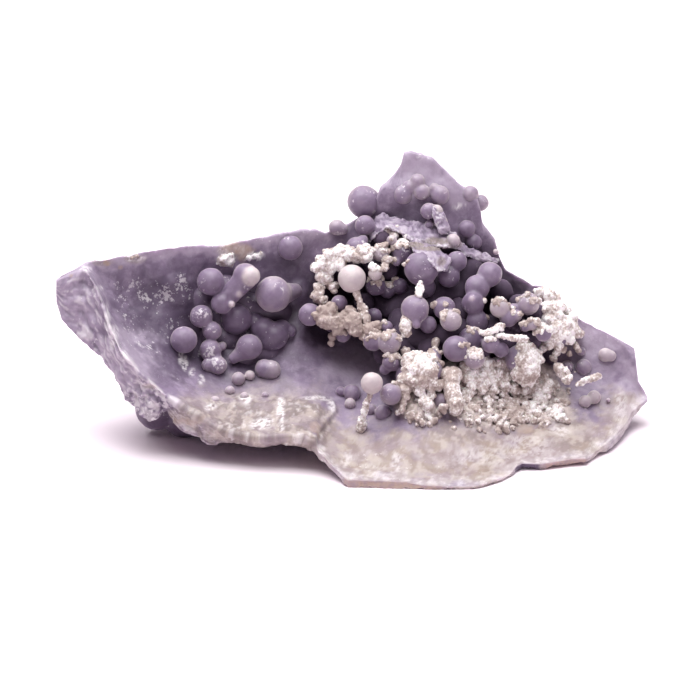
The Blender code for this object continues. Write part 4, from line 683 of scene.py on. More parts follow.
def soft_step(value, low, high):
    """0 below low, 1 above high, smooth between."""
    share = np.clip((value - low) / (high - low), 0.0, 1.0)
    return share * share * (3 - 2 * share)


def patches(across, up, zones, ragged):
    """The strongest of several soft ellipses, with their borders moved by ragged noise."""
    strongest = np.zeros(np.broadcast(across, up).shape)
    for middle, height, half_wide, half_high, strength in zones:
        reach = np.hypot((across - middle) / half_wide, (up - height) / half_high) + ragged
        strongest = np.maximum(strongest, strength * (1 - soft_step(reach, *PATCH_BORDER)))
    return strongest


def face_away(across, up):
    """How far away the visible face lies: a broken band up to the lip, then the sunken hollow. The hollow
    follows the eased outlines and is drawn onto the true ones within a few mm of them."""
    across, up = np.broadcast_arrays(np.asarray(across, float), up)
    low, lip, top = line(LOW_EDGE, across, 1), line(LIP, across, 1), line(TOP_EDGE, across, 1)
    lip_away = line(LIP, across, 2)
    band = np.clip((up - low) / (lip - low), 0.0, 1.0)
    in_band = line(LOW_EDGE, across, 2) * (1 - band) + lip_away * band
    share = np.clip((up - lip) / (top - lip), 0.0, 1.0)
    to_lip = lip_away - eased_hollow(across, lip)
    to_top = line(TOP_EDGE, across, 2) - eased_hollow(across, top)
    drawn = to_lip * (1 - share) * np.exp(-np.maximum(up - lip, 0) / DRAWN)
    drawn += to_top * share * np.exp(-np.maximum(top - up, 0) / DRAWN)
    return np.where(up < lip, in_band, eased_hollow(across, up) + drawn)


def eased_hollow(across, up):
    """The hollow from the eased lip to the eased top edge: straight, and sunk by a biased sine."""
    lip, top = eased(LIP, across, 1), eased(TOP_EDGE, across, 1)
    share = (up - lip) / (top - lip)
    sunk = line(HOLLOW_DEPTH, across, 1) * np.sin(math.pi * np.clip(share, 0.0, 1.0)**HOLLOW_BIAS)
    return eased(LIP, across, 2) * (1 - share) + eased(TOP_EDGE, across, 2) * share + sunk


def wall_away(across, up):
    """The visible face with its swellings, as low rounded domes, and the pocket behind the heap."""
    away = face_away(across, up) + patches(across, up, POCKET, 0.0)
    for middle, height, half_wide, rise in SWELLINGS:
        reach = np.hypot(across - middle, up - height) / half_wide
        away = away - rise * np.clip(1 - reach**2, 0, 1) ** DOME_POWER
    return away


def top_thickness(across):
    """The broken top edge thins out towards both tips."""
    to_tip = np.minimum(across - LOW_EDGE[0][0], LOW_EDGE[-1][0] - across) / TIP_LENGTH
    return TIP_THICK + (TOP_THICK - TIP_THICK) * np.clip(to_tip, 0.0, 1.0)


def rind_away(across, share):
    """How far away the outer rind lies, by the share of the way from the lower to the top edge."""
    straight = line(LOW_EDGE, across, 2) * (1 - share)
    straight = straight + (line(TOP_EDGE, across, 2) + top_thickness(across)) * share
    bulge = line(HOLLOW_DEPTH, across, 1) + line(RIND_BULGE, across, 1)
    return straight + bulge * np.sin(math.pi * share**RIND_BIAS)


def outward(grid):
    """Unit normals of a grid of points, turned away from the hollow."""
    normal = np.cross(np.gradient(grid, axis=0), np.gradient(grid, axis=1))
    normal /= np.linalg.norm(normal, axis=-1, keepdims=True) + 1e-9
    away = np.array([0.0, math.cos(TILT), -math.sin(TILT)])
    return np.where((normal @ away)[..., None] < 0, -normal, normal)


def domed(grid, share, coarse):
    """The rind raised along its normals by the highest of many low domes, none at its edges."""
    draw = np.random.default_rng(DOME_SEED)
    spots = coarse.reshape(-1, 3)[draw.integers(0, coarse.shape[0] * coarse.shape[1], DOME_COUNT)]
    radii = draw.uniform(*DOME_RADIUS, DOME_COUNT)
    heights = draw.uniform(*DOME_HEIGHT, DOME_COUNT)
    raised = np.zeros(grid.shape[:2])
    for spot, radius, height in zip(spots, radii, heights):
        apart = np.sum((grid - spot) ** 2, axis=-1)
        dome = np.sqrt(np.maximum(radius**2 - apart, 0.0)) - (radius - height)
        raised = np.maximum(raised, dome)
    to_tip = np.minimum(grid[..., 0] - LOW_EDGE[0][0], LOW_EDGE[-1][0] - grid[..., 0]) / TIP_LENGTH
    fade = np.clip(np.minimum(share, 1 - share) / DOME_FADE, 0.0, 1.0) * np.clip(to_tip, 0.0, 1.0) ** 2
    rough = layered_noise(grid, *RIND_ROUGH) * RIND_ROUGH_HEIGHT
    return grid + outward(grid) * ((raised + rough) * fade)[..., None]


def new_mesh(name, points, faces, marks=None):
    """A piece at the origin from points in mm and faces of four or three corners, with point attributes."""
    mesh = bpy.data.meshes.new(name)
    corners = np.concatenate([np.asarray(group, np.int32).ravel() for group in faces])
    totals = np.concatenate([np.full(len(group), np.asarray(group).shape[1], np.int32) for group in faces])
    mesh.vertices.add(len(points))
    mesh.vertices.foreach_set("co", np.ascontiguousarray(points * MM, np.float32).ravel())
    mesh.loops.add(len(corners))
    mesh.loops.foreach_set("vertex_index", corners)
    mesh.polygons.add(len(totals))
    mesh.polygons.foreach_set("loop_start", np.cumsum(totals, dtype=np.int32) - totals)
    mesh.update(calc_edges=True)
    mesh.validate()
    for label, values in (marks or {}).items():
        layer = mesh.attributes.new(label, "FLOAT", "POINT")
        layer.data.foreach_set("value", np.ascontiguousarray(values, np.float32).ravel())
    mesh.shade_smooth()
    piece = bpy.data.objects.new(name, mesh)
    bpy.context.scene.collection.objects.link(piece)
    return piece


def ring_faces(rings, around):
    """Quads between neighbouring closed rings of the same number of points."""
    ring, spot = np.meshgrid(np.arange(rings - 1), np.arange(around), indexing="ij")
    after = (spot + 1) % around
    here, there = ring * around, (ring + 1) * around
    return np.stack([here + spot, here + after, there + after, there + spot], axis=-1).reshape(-1, 4)


def closed_tube(rings, ends=None):
    """Points, quads and end fans of a grid of closed rings, whose end rings close in their middles or in the
    given end points."""
    count, around = rings.shape[:2]
    points = rings.reshape(-1, 3)
    spot = np.arange(around)
    after = (spot + 1) % around
    last = (count - 1) * around
    start = np.stack([spot * 0 + len(points), after, spot], axis=-1)
    finish = np.stack([spot * 0 + len(points) + 1, last + spot, last + after], axis=-1)
    if ends is None:
        ends = np.stack([rings[0].mean(axis=0), rings[-1].mean(axis=0)])
    return np.concatenate([points, ends]), ring_faces(count, around), np.concatenate([start, finish])


def settle(piece, material):
    """Ties a finished piece to the specimen and gives it its material."""
    piece.data.materials.clear()
    piece.data.materials.append(material)
    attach(piece, "root")
    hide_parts(NODE)
    return piece


def unit_sphere(rings, around):
    """A unit sphere on a grid of polar and turning angle, closed in its poles, with its faces outwards."""
    polar = np.linspace(0, math.pi, rings + 1)[1:-1, None]
    turn = np.linspace(0, 2 * math.pi, around, endpoint=False)[None, :]
    body = np.stack([np.sin(polar) * np.cos(turn), np.sin(polar) * np.sin(turn),
                     np.cos(polar) + 0 * turn], axis=-1)
    points, quads, fans = closed_tube(body, [[0, 0, 1], [0, 0, -1]])
    return points, quads[:, ::-1], fans[:, [0, 2, 1]]


def spheres(centres, radii, rings=12, around=18):
    """Many spheres as one cloud of closed surfaces: the unit sphere, times each radius, plus each centre."""
    points, quads, triangles = unit_sphere(rings, around)
    cloud = centres[:, None, :] + radii[:, None, None] * points[None]
    shift = (np.arange(len(centres)) * len(points))[:, None, None]
    return cloud.reshape(-1, 3), [(quads + shift).reshape(-1, 4), (triangles + shift).reshape(-1, 3)]


def arrays_of(piece):
    """Points in mm and quads of a piece after its modifiers."""
    bpy.context.view_layer.update()
    evaluated = piece.evaluated_get(bpy.context.evaluated_depsgraph_get())
    mesh = evaluated.to_mesh()
    points = np.empty(len(mesh.vertices) * 3, np.float32)
    mesh.vertices.foreach_get("co", points)
    faces = np.empty(len(mesh.loops), np.int32)
    mesh.loops.foreach_get("vertex_index", faces)
    evaluated.to_mesh_clear()
    return points.reshape(-1, 3).astype(float) / MM, faces.reshape(-1, 4)


# Skins of less than this many cubic mm are dropped.
LEAST_VOLUME = 0.05
# Spheres along a lobe are this share of its radius apart. The skin is moved by this many steps, in parts of
# this many points, over a slope of at least this, and by at most this many mm at once.
LOBE_STEP = 0.4
NEWTON_STEPS = 3
PART_POINTS = 6000
LEAST_SLOPE = 0.15
LARGEST_MOVE = 0.4


def outer_skins(points, quads):
    """Keeps the skins that face outwards: joined faces share a label, and inner hollows have less than no
    volume. Labels spread along edges to the lowest one and jump ahead until they settle."""
    edges = np.concatenate([quads[:, [0, 1]], quads[:, [1, 2]], quads[:, [2, 3]], quads[:, [3, 0]]])
    label = np.arange(len(points))
    while True:
        low = np.minimum(label[edges[:, 0]], label[edges[:, 1]])
        spread = label.copy()
        np.minimum.at(spread, edges[:, 0], low)
        np.minimum.at(spread, edges[:, 1], low)
        spread = spread[spread]
        if np.array_equal(spread, label):
            break
        label = spread
    a, b, c, d = (points[quads[:, i]] for i in range(4))
    volume = np.einsum("ij,ij->i", a, np.cross(b, c)) + np.einsum("ij,ij->i", a, np.cross(c, d))
    total = np.bincount(label[quads[:, 0]], weights=volume / 6, minlength=len(points))
    quads = quads[total[label[quads[:, 0]]] > LEAST_VOLUME]
    used, renumbered = np.unique(quads, return_inverse=True)
    return points[used], renumbered.reshape(-1, 4)


def numbered(counts):
    """For so many copies of each thing: whose copy each is, and its number from 0."""
    owner = np.repeat(np.arange(len(counts)), counts)
    return owner, np.arange(len(owner)) - np.repeat(np.cumsum(counts) - counts, counts)


class Lobes:
    """Many round lobes: each runs from a start along a reach, with a radius at both ends and a tone.
    A ball is a lobe without reach."""

    def __init__(self, start, end, near, far, tone):
        self.start = start
        self.reach = end - start
        self.near = np.asarray(near, float)
        self.far = np.asarray(far, float)
        self.tone = np.asarray(tone, float)

    def __add__(self, other):
        whole = Lobes(self.start, self.start, self.near, self.far, self.tone)
        for key in ("start", "reach", "near", "far", "tone"):
            setattr(whole, key, np.concatenate([getattr(self, key), getattr(other, key)]))
        return whole

    def filled(self):
        """Centres and radii of spheres set closely along each lobe."""
        length = np.linalg.norm(self.reach, axis=1)
        counts = 1 + np.ceil(length / (LOBE_STEP * np.minimum(self.near, self.far))).astype(int)
        owner, place = numbered(counts)
        part = place / np.maximum(counts[owner] - 1, 1)
        centres = self.start[owner] + self.reach[owner] * part[:, None]
        return centres, self.near[owner] * (1 - part) + self.far[owner] * part

    def field(self, spot, fillet):
        """Signed distance to the smooth union, its slope and the weight of each lobe: minus the fillet
        times the log of the sum of exp(-distance / fillet)."""
        offset = spot[:, None, :] - self.start[None]
        square = np.maximum(np.sum(self.reach**2, axis=1), 1e-9)
        part = np.clip(np.einsum("ijk,jk->ij", offset, self.reach) / square, 0, 1)
        offset -= part[..., None] * self.reach[None]
        length = np.linalg.norm(offset, axis=2) + 1e-6
        apart = length - (self.near * (1 - part) + self.far * part)
        least = apart.min(axis=1, keepdims=True)
        weight = np.exp(-(apart - least) / fillet)
        whole = weight.sum(axis=1, keepdims=True)
        distance = least[:, 0] - fillet * np.log(whole[:, 0])
        weight /= whole
        return distance, np.einsum("ij,ijk->ik", weight / length, offset), weight

    def skin(self, name, cell, fillet):
        """Points and quads of one skin, moved onto the smooth union by Newton steps, and its tone."""
        points, quads = fused(name, *self.filled(), cell)
        tone = np.zeros(len(points))
        for first in range(0, len(points), PART_POINTS):
            part = slice(first, first + PART_POINTS)
            spot = points[part]
            for _ in range(NEWTON_STEPS):
                distance, slope, weight = self.field(spot, fillet)
                square = np.maximum(np.sum(slope * slope, axis=1), LEAST_SLOPE)
                move = np.clip(distance / square, -LARGEST_MOVE, LARGEST_MOVE)
                spot = spot - slope * move[:, None]
            points[part] = spot
            tone[part] = weight @ self.tone
        return points, quads, tone


def fused(name, centres, radii, cell):
    """One skin round many overlapping spheres, which are remeshed in small cells and read back."""
    points, faces = spheres(centres, radii)
    rough = new_mesh(name + "_rough", points, faces)
    remesh = rough.modifiers.new("Fuse", "REMESH")
    remesh.mode = "VOXEL"
    remesh.voxel_size = cell * MM
    points, quads = arrays_of(rough)
    bpy.data.objects.remove(rough, do_unlink=True)
    return outer_skins(points, quads)


def vertex_normals(points, quads):
    """Unit normals: the sum of the crossed diagonals of the faces round each point."""
    crossed = np.cross(points[quads[:, 2]] - points[quads[:, 0]], points[quads[:, 3]] - points[quads[:, 1]])
    total = np.zeros_like(points)
    for corner in range(4):
        for axis in range(3):
            total[:, axis] += np.bincount(quads[:, corner], weights=crossed[:, axis], minlength=len(points))
    return total / (np.linalg.norm(total, axis=1, keepdims=True) + 1e-9)


def columns_of(table):
    """The columns of a driving table as arrays."""
    return np.array(table, float).T


def wall_balls(table):
    """Balls given by how far they stand proud of the wall."""
    across, up, proud, radius, tone = columns_of(table)
    away = face_away(across, up) - proud
    centre = seen(across, up, away)
    return Lobes(centre, centre, radius, radius, tone) + fingers(across, up, away, radius, tone * 0.5)


def heap_lobes(table, gloom):
    """Balls of the heap with what carries them. Gloom moves them back, but not through the wall."""
    across, up, away, radius, tone = columns_of(table)
    deepest = np.maximum(away, wall_away(across, up) - GLOOM_SUNK * radius)
    away = np.minimum(away + GLOOM_BACK * gloom, deepest)
    carried = away > LOW_STAND
    centre = seen(across, up, away)
    carriers = fingers(*(column[carried] for column in (across, up, away, radius, tone * 0.3)))
    return Lobes(centre, centre, radius, radius, tone) + carriers


def wall_lobes(table):
    """Lobes between two places given by how far they stand proud of the wall."""
    across, up, proud, near, far_across, far_up, far_proud, far, tone = columns_of(table)
    start = seen(across, up, face_away(across, up) - proud)
    end = seen(far_across, far_up, face_away(far_across, far_up) - far_proud)
    return Lobes(start, end, near, far, tone)


def fingers(across, up, away, radius, tone, share=CARRIER_SHARE):
    """What carries the balls: a row of smaller, darker balls from each one straight back into the wall, each
    a little off the line, so that it stays hidden behind the first."""
    draw = np.random.default_rng(CARRIER_SEED)
    reach = np.maximum(wall_away(across, up) - CARRIER_SUNK * radius - away, CARRIER_LEAST)
    step = radius * CARRIER_STEP
    counts = np.ceil(reach / step).astype(int)
    owner, place = numbered(counts)
    size = radius[owner] * share * draw.uniform(*CARRIER_SIZES, len(owner))
    off = draw.uniform(-CARRIER_OFF, CARRIER_OFF, (2, len(owner))) * radius[owner]
    back = np.minimum((place + 1) * step[owner], reach[owner])
    spot = seen(across[owner] + off[0], up[owner] + off[1], away[owner] + back)
    return Lobes(spot, spot, size, size, tone[owner])


def chain(stations, step):
    """Spheres set closely along a path of stations, with radii straight between them."""
    table = np.array(stations)
    length = np.concatenate([[0], np.cumsum(np.linalg.norm(np.diff(table[:, :3], axis=0), axis=1))])
    along = np.linspace(0, length[-1], max(2, int(length[-1] / step)))
    return np.stack([np.interp(along, length, table[:, column]) for column in range(4)], axis=-1)


# Flecks: the noise's limits where the mark is 0 and 1, and the sizes of flecks and of their clusters in mm.
FLECK_LIMITS = (0.79, 0.51)
FLECK_SIZE = 0.6
FLECK_CLUSTERS = 2.6


class Nodes:
    """Builds a material's node tree: each call adds one node and returns its output."""

    def __init__(self, name):
        self.material = bpy.data.materials.new(name)
        self.material.use_nodes = True
        self.tree = self.material.node_tree
        self.shader = self.tree.nodes["Principled BSDF"]
        self.place = self.add("ShaderNodeTexCoord").outputs["Object"]

    def add(self, kind, **settings):
        """A new node with some of its settings."""
        node = self.tree.nodes.new(kind)
        for key, value in settings.items():
            setattr(node, key, value)
        return node

    def put(self, socket, value):
        """Links an output to the socket, or sets the socket to a constant."""
        if isinstance(value, bpy.types.NodeSocket):
            self.tree.links.new(value, socket)
        else:
            socket.default_value = value

    def mark(self, label):
        """One of the piece's own marks, kept at its points."""
        return self.add("ShaderNodeAttribute", attribute_name=label).outputs["Fac"]

    def noise(self, size_mm, detail=3.0, rough=0.55, warp=0.0):
        """Noise over the object's own coordinates, mostly from 0.3 to 0.7."""
        node = self.add("ShaderNodeTexNoise")
        self.put(node.inputs["Vector"], self.place)
        node.inputs["Scale"].default_value = 1000.0 / size_mm
        node.inputs["Detail"].default_value = detail
        node.inputs["Roughness"].default_value = rough
        node.inputs["Distortion"].default_value = warp
        return node.outputs["Fac"]

    def ramp(self, value, low, high, least=0.0, most=1.0):
        """Least up to the low value, most from the high value on, straight between."""
        node = self.add("ShaderNodeMapRange", clamp=True)
        self.put(node.inputs["Value"], value)
        for key, number in (("From Min", low), ("From Max", high), ("To Min", least), ("To Max", most)):
            node.inputs[key].default_value = number
        return node.outputs["Result"]

    def sum(self, kind, a, b):
        """One step of arithmetic."""
        node = self.add("ShaderNodeMath", operation=kind)
        self.put(node.inputs[0], a)
        self.put(node.inputs[1], b)
        return node.outputs[0]

    def broken(self, label, value, low, high, least, most=1.0):
        """A mark broken up by a noise: times the noise's ramp."""
        return self.sum("MULTIPLY", self.mark(label), self.ramp(value, low, high, least, most))

    def flecks(self, label):
        """Irregular white flecks where the mark is high: fine noise above a limit that the mark lowers."""
        limit = self.ramp(self.mark(label), 0.0, 1.0, *FLECK_LIMITS)
        clusters = self.ramp(self.noise(FLECK_CLUSTERS, 2.0, 0.5), 0.3, 0.7, -0.14, 0.14)
        value = self.sum("SUBTRACT", self.sum("ADD", self.noise(FLECK_SIZE, 2.0, 0.7), clusters), limit)
        return self.ramp(value, 0.0, 0.1)

    def grazing(self, power):
        """0 where the surface faces the eye, 1 at its outline."""
        node = self.add("ShaderNodeLayerWeight")
        return self.sum("POWER", node.outputs["Facing"], power)

    def mix(self, share, a, b):
        """Colour a where the share is 0, b where it is 1: the node's sockets 6 and 7."""
        node = self.add("ShaderNodeMix", data_type="RGBA", clamp_factor=True)
        self.put(node.inputs[0], share)
        self.put(node.inputs[6], a)
        self.put(node.inputs[7], b)
        return node.outputs[2]

    def bump(self, height, depth_mm, strength=1.0, below=None):
        """Normals bent by a height of so many mm, over the bump below."""
        node = self.add("ShaderNodeBump")
        node.inputs["Strength"].default_value = strength
        node.inputs["Distance"].default_value = depth_mm * MM
        self.put(node.inputs["Height"], height)
        if below is not None:
            self.put(node.inputs["Normal"], below)
        return node.outputs["Normal"]

    def finish(self, colour, normal, roughness, deep=0.0, reach_mm=1.0, sheen=0.0):
        """Sets up the shader; deep and reach say how much light scatters below the surface, and how far."""
        shader = self.shader
        self.put(shader.inputs["Base Color"], colour)
        self.put(shader.inputs["Normal"], normal)
        self.put(shader.inputs["Roughness"], roughness)
        shader.inputs["Subsurface Weight"].default_value = deep
        shader.inputs["Subsurface Radius"].default_value = (1.0, 0.75, 1.0)
        shader.inputs["Subsurface Scale"].default_value = reach_mm * MM
        shader.inputs["Sheen Weight"].default_value = sheen
        shader.inputs["Sheen Roughness"].default_value = 0.5
        return self.material


def rgb(colour):
    """A colour with full alpha."""
    return (*colour, 1.0)


def plate_material(name, colours):
    """Purple stone, deeper and paler by the plate's marks, partly as painted shade and light, with frosted,
    beige, tan and flecked places, brown crevices that are partly painted shade, and almost black painted
    shade. Each coat over the purple is a share, often a mark broken up by a noise, and a colour."""
    nodes = Nodes(name)
    mottle = nodes.noise(4.5, 4.0, 0.6, 0.5)
    fine = nodes.noise(0.9, 3.0, 0.6)
    grain = nodes.noise(0.3, 2.0, 0.6)
    # The deep mark is partly painted shade in the hollow.
    deep = nodes.sum("ADD", nodes.mark("deep"), nodes.ramp(mottle, 0.38, 0.66, -0.1, 0.3))
    clouds = nodes.ramp(nodes.noise(1.7, 4.0, 0.65, 0.4), 0.46, 0.66, 0.0, 0.4)
    clouds = nodes.sum("MULTIPLY", clouds, nodes.ramp(nodes.mark("deep"), 0.0, 1.0, 1.0, 0.3))
    light = nodes.mark("light")
    even_light = nodes.ramp(nodes.noise(1.0, 3.0, 0.65), 0.42, 0.6)
    sallow = nodes.mix(light, rgb(colours.beige), rgb(colours.cream))
    frosted = nodes.mix(light, rgb(colours.frost_shade), rgb(colours.cream))
    sandy = nodes.mix(even_light, rgb(colours.sand), rgb(colours.cream))
    base = nodes.mix(deep, rgb(colours.stone), rgb(colours.deep_stone))
    for share, colour in (
            # the pale mark is partly painted light below the heap
            (nodes.broken("pale", fine, 0.3, 0.6, 0.7), rgb(colours.pale_stone)),
            (clouds, rgb(colours.pale_stone)),
            (nodes.mark("strata"), rgb(colours.streak)),
            (nodes.broken("beige", mottle, 0.3, 0.55, 0.8), sallow),
            (nodes.broken("frost", grain, 0.3, 0.55, 0.55, 1.1), frosted),
            (nodes.mark("sand"), sandy),
            # brown in the pores, partly painted shade
            (nodes.mark("shaded_crevice"), rgb(colours.shaded_crevice)),
            (nodes.broken("chalk", grain, 0.3, 0.6, 0.6), rgb(colours.fleck)),
            (nodes.broken("tan", fine, 0.35, 0.6, 0.5), rgb(colours.tan)),
            (nodes.sum("MULTIPLY", nodes.flecks("dust_and_highlight"), 0.5), rgb(colours.fleck)),
            # painted shade: almost black deep between the balls
            (nodes.mark("void"), rgb(colours.void))):
        base = nodes.mix(share, base, colour)
    normal = nodes.bump(grain, 0.07, 0.5)
    normal = nodes.bump(fine, 0.14, 0.5, normal)
    rough = nodes.ramp(fine, 0.3, 0.7, 0.4, 0.58)
    return nodes.finish(base, normal, rough, 0.3, 1.1, 0.05)


def ball_material(name, colours):
    """Waxy purple balls by their own tone, paler at their outlines as a painted sheen, with a few white
    flecks, partly a painted highlight, and almost black painted shade in the gaps.
    """
    nodes = Nodes(name)
    mottle = nodes.noise(2.2, 3.0, 0.55, 0.3)
    fine = nodes.noise(0.45, 3.0, 0.6)
    tone = nodes.sum("ADD", nodes.mark("tone"), nodes.ramp(mottle, 0.3, 0.7, -0.13, 0.13))
    # Painted sheen: paler where the surface turns away from the eye.
    tone = nodes.sum("ADD", tone, nodes.ramp(nodes.grazing(2.2), 0.0, 1.0, 0.0, 0.5))
    base = nodes.mix(nodes.ramp(tone, 0.0, 0.4), rgb(colours.deep_ball), rgb(colours.ball))
    base = nodes.mix(nodes.ramp(tone, 0.4, 1.0), base, rgb(colours.pale_ball))
    base = nodes.mix(nodes.sum("MULTIPLY", nodes.flecks("dust_and_highlight"), 0.6), base, rgb(colours.fleck))
    # Painted shade: almost black deep in the gaps.
    base = nodes.mix(nodes.mark("void"), base, rgb(colours.void))
    normal = nodes.bump(fine, 0.05, 0.55)
    rough = nodes.sum("ADD", nodes.ramp(fine, 0.3, 0.7, 0.36, 0.5),
                      nodes.ramp(nodes.mark("void"), 0.0, 1.0, 0.0, 0.5))
    return nodes.finish(base, normal, rough, 0.5, 1.2, 0.0)


def crust_material(name, colours):
    """White sugary crust from the grain mark: white on its grains, beige and brown between them, partly
    as painted shade, and almost black painted shade in the gaps.
    """
    nodes = Nodes(name)
    fine = nodes.noise(0.35, 3.0, 0.65)
    patch = nodes.noise(2.4, 3.0, 0.6)
    depth = nodes.sum("ADD", nodes.mark("grain"), nodes.ramp(fine, 0.3, 0.7, -0.3, 0.3))
    depth = nodes.sum("ADD", depth, nodes.ramp(patch, 0.35, 0.65, -0.3, 0.2))
    base = nodes.mix(nodes.ramp(depth, 0.0, 0.4), rgb(colours.shaded_crevice), rgb(colours.crust_shade))
    base = nodes.mix(nodes.ramp(depth, 0.35, 0.8), base, rgb(colours.crust))
    base = nodes.mix(nodes.mark("void"), base, rgb(colours.void))
    normal = nodes.bump(fine, 0.16, 0.8)
    return nodes.finish(base, normal, 0.7, 0.2, 0.4, 0.0)


def plate_rows(across, jag):
    """The rows of the front, as up values: even from the low edge to the lip, then to the top edge."""
    low, lip, top = line(LOW_EDGE, across, 1), line(LIP, across, 1), line(TOP_EDGE, across, 1)
    band = low + jag + (lip - low - jag) * np.linspace(0.0, 1.0, BAND_ROWS, endpoint=False)
    face = lip + (top - lip) * np.linspace(0.0, 1.0, FACE_ROWS) ** ROW_BIAS
    return np.concatenate([band, face], axis=1)


def over_step(across, up):
    """1 on the left floor, 0 past the broken step, by the side of the step line at this height."""
    table = np.array(STEP_LINE)
    edge = np.interp(up, table[:, 1], table[:, 0])
    return (1 - soft_step(across - edge, *STEP_BORDER)) * (1 - soft_step(up, *STEP_FADE))


def band_place(across, up):
    """Place along the broken band, in mm along the lip, and the share of the way from its low edge."""
    table = np.array(LIP)
    length = np.concatenate([[0], np.cumsum(np.hypot(np.diff(table[:, 0]), np.diff(table[:, 1])))])
    low, lip = line(LOW_EDGE, across, 1), line(LIP, across, 1)
    share = np.clip((up - low) / (lip - low), 0, 1)
    return np.interp(across, table[:, 0], length), share


def zone_marks(points):
    """The marks of the stone at real places, from the zones with ragged borders."""
    across, up, _ = tipped(points)
    ragged = layered_noise(points, *ZONE_BORDERS) * 0.35
    tables = {"frost": FROST, "beige": BEIGE, "deep": DEEP_AND_SHADE, "pale": PALE_AND_LIT, "tan": TAN, "dust_and_highlight": DUST_AND_HIGHLIGHT,
              "void": SHADE_ZONES, "chalk": CHALK}
    return {label: np.clip(patches(across, up, table, ragged), 0, 1) for label, table in tables.items()}


def stretch(across, place):
    """1 from where a stretch along the outline has begun to where it ends."""
    return soft_step(across, *place[0]) * (1 - soft_step(across, *place[1]))


def raise_mark(marks, label, values):
    """Lifts a mark to at least these values."""
    marks[label] = np.maximum(marks[label], values)


def front_relief(flat, across, up, marks):
    """Height of the front's relief in mm: fibres and shards on the broken band, grains and ridges on frosted
    ground, ripples on beige ground, pores on the granular floor, gentle swells elsewhere, a line along the
    lip and the broken step. The same noises make the marks more ragged."""
    low, lip = line(LOW_EDGE, across, 1), line(LIP, across, 1)
    in_band = 1 - soft_step(up - lip, *BAND_BORDER)
    along, share = band_place(across, up)
    wide = soft_step(lip - low, *BAND_WIDE)
    fibres = layered_noise(np.stack([along * FIBRE_ALONG, share * FIBRE_PACKED, along * 0], axis=-1), *FIBRES)
    shards = layered_noise(flat, *SHARDS)
    shattered = patches(across, up, SHATTERED, 0.0)
    broken = fibres * FIBRE_HEIGHT * wide
    broken = broken + layered_noise(flat, *BAND_ROUGH) * BAND_HEIGHT * (BAND_LEAST + wide)
    broken = broken + (RIDGE_TOP - np.abs(shards)) * SHARD_HEIGHT * shattered

    facing = np.stack([across, up, wall_away(across, up) * DRAWN_DEEP], axis=-1)
    ridges = RIDGE_TOP - np.abs(layered_noise(facing, *RIDGES))
    big, small = grains(flat, *BIG_GRAINS)[0] - GRAIN_MIDDLE, grains(flat, *SMALL_GRAINS)[0] - GRAIN_MIDDLE
    granular = big * BIG_HEIGHT + small * SMALL_HEIGHT + layered_noise(facing, *FROST_ROUGH) * FROST_HEIGHT
    granular = granular + ridges * RIDGE_HEIGHT
    cloudy = layered_noise(flat, *CLOUDS)
    marks["frost"] = marks["frost"] * (0.5 + 0.5 * soft_step(cloudy, -0.5, 0.0))
    marks["beige"] = marks["beige"] * (0.7 + 0.3 * soft_step(-cloudy, -0.2, 0.4))
    marks["light"] = soft_step(layered_noise(facing, *LIGHT_SPOTS), -0.3, 0.4)
    crystal = soft_step(ridges + 0.5 * layered_noise(facing, *CRYSTALS), 0.22, 0.55)
    marks["chalk"] = marks["chalk"] * soft_step(layered_noise(flat, *CHALK_GAPS), -0.45, 0.1)
    raise_mark(marks, "chalk", crystal * marks["frost"] ** 3 * 0.4)

    ripple = np.stack([across / RIPPLE_ALONG, up / RIPPLE_UP, up * 0], axis=-1)
    ripple = layered_noise(ripple, *RIPPLES) * RIPPLE_HEIGHT
    smooth = layered_noise(flat, *SWELLS) * SWELL_HEIGHT
    smooth = smooth + (ripple * (1 - marks["frost"]) + small * FINE_HEIGHT) * marks["beige"]
    bank = floor_rise(across, up)
    sandy = soft_step(bank, 0.1, 0.8)
    floor_grains = (grains(flat, *FLOOR_GRAINS)[0] - 0.5) * FLOOR_GRAIN_HEIGHT
    porous = floor_grains + layered_noise(flat, *PORES) * PORE_HEIGHT
    smooth = smooth * (1 - sandy) + (porous + bank) * sandy
    # The granular floor is paler on its raised grains and brown in its pores: partly its own colour, partly
    # painted shade.
    marks["sand"] = sandy * (0.35 + 0.65 * soft_step(porous, -0.35, 0.25))
    marks["shaded_crevice"] = sandy * soft_step(-porous, 0.05, 0.4)

    relief = broken * in_band + smooth * (1 - in_band)
    relief = relief * (1 - marks["frost"]) + (granular + relief * 0.3) * marks["frost"] ** 2
    lip_line = np.exp(-(((up - lip - LINE_ABOVE) / LINE_WIDTH) ** 2)) * (1 - soft_step(across, *LINE_ENDS))
    lip_line = lip_line * soft_step(across, *LINE_BEGINS)
    mark_band(flat, marks, in_band * wide, lip_line, fibres, shards, in_band * shattered)
    mark_edge(flat, across, up - lip, marks, in_band)
    return relief + lip_line * LINE_HEIGHT + over_step(across, up) * STEP_HEIGHT


def mark_band(flat, marks, fibrous, lip_line, fibres, shards, shattered):
    """Streaks where fibres and shards stand up and along the lip, dark places between them, and flecks."""
    streaks = soft_step(fibres, 0.1, 0.6) * 0.55 * fibrous
    streaks = np.maximum(streaks, lip_line * soft_step(fibres, -0.5, 0.2) * 0.9)
    marks["strata"] = np.maximum(streaks, shattered * soft_step(-shards, 0.1, 0.4) * 0.8)
    marks["deep"] = marks["deep"] * (1 - 0.6 * fibrous)
    raise_mark(marks, "deep", soft_step(-fibres, 0.1, 0.6) * 0.6 * fibrous)
    raise_mark(marks, "deep", shattered * soft_step(shards, -0.1, 0.25))
    raise_mark(marks, "dust_and_highlight", 0.5 * fibrous * soft_step(layered_noise(flat, *BAND_MOTTLE), -0.3, 0.3))


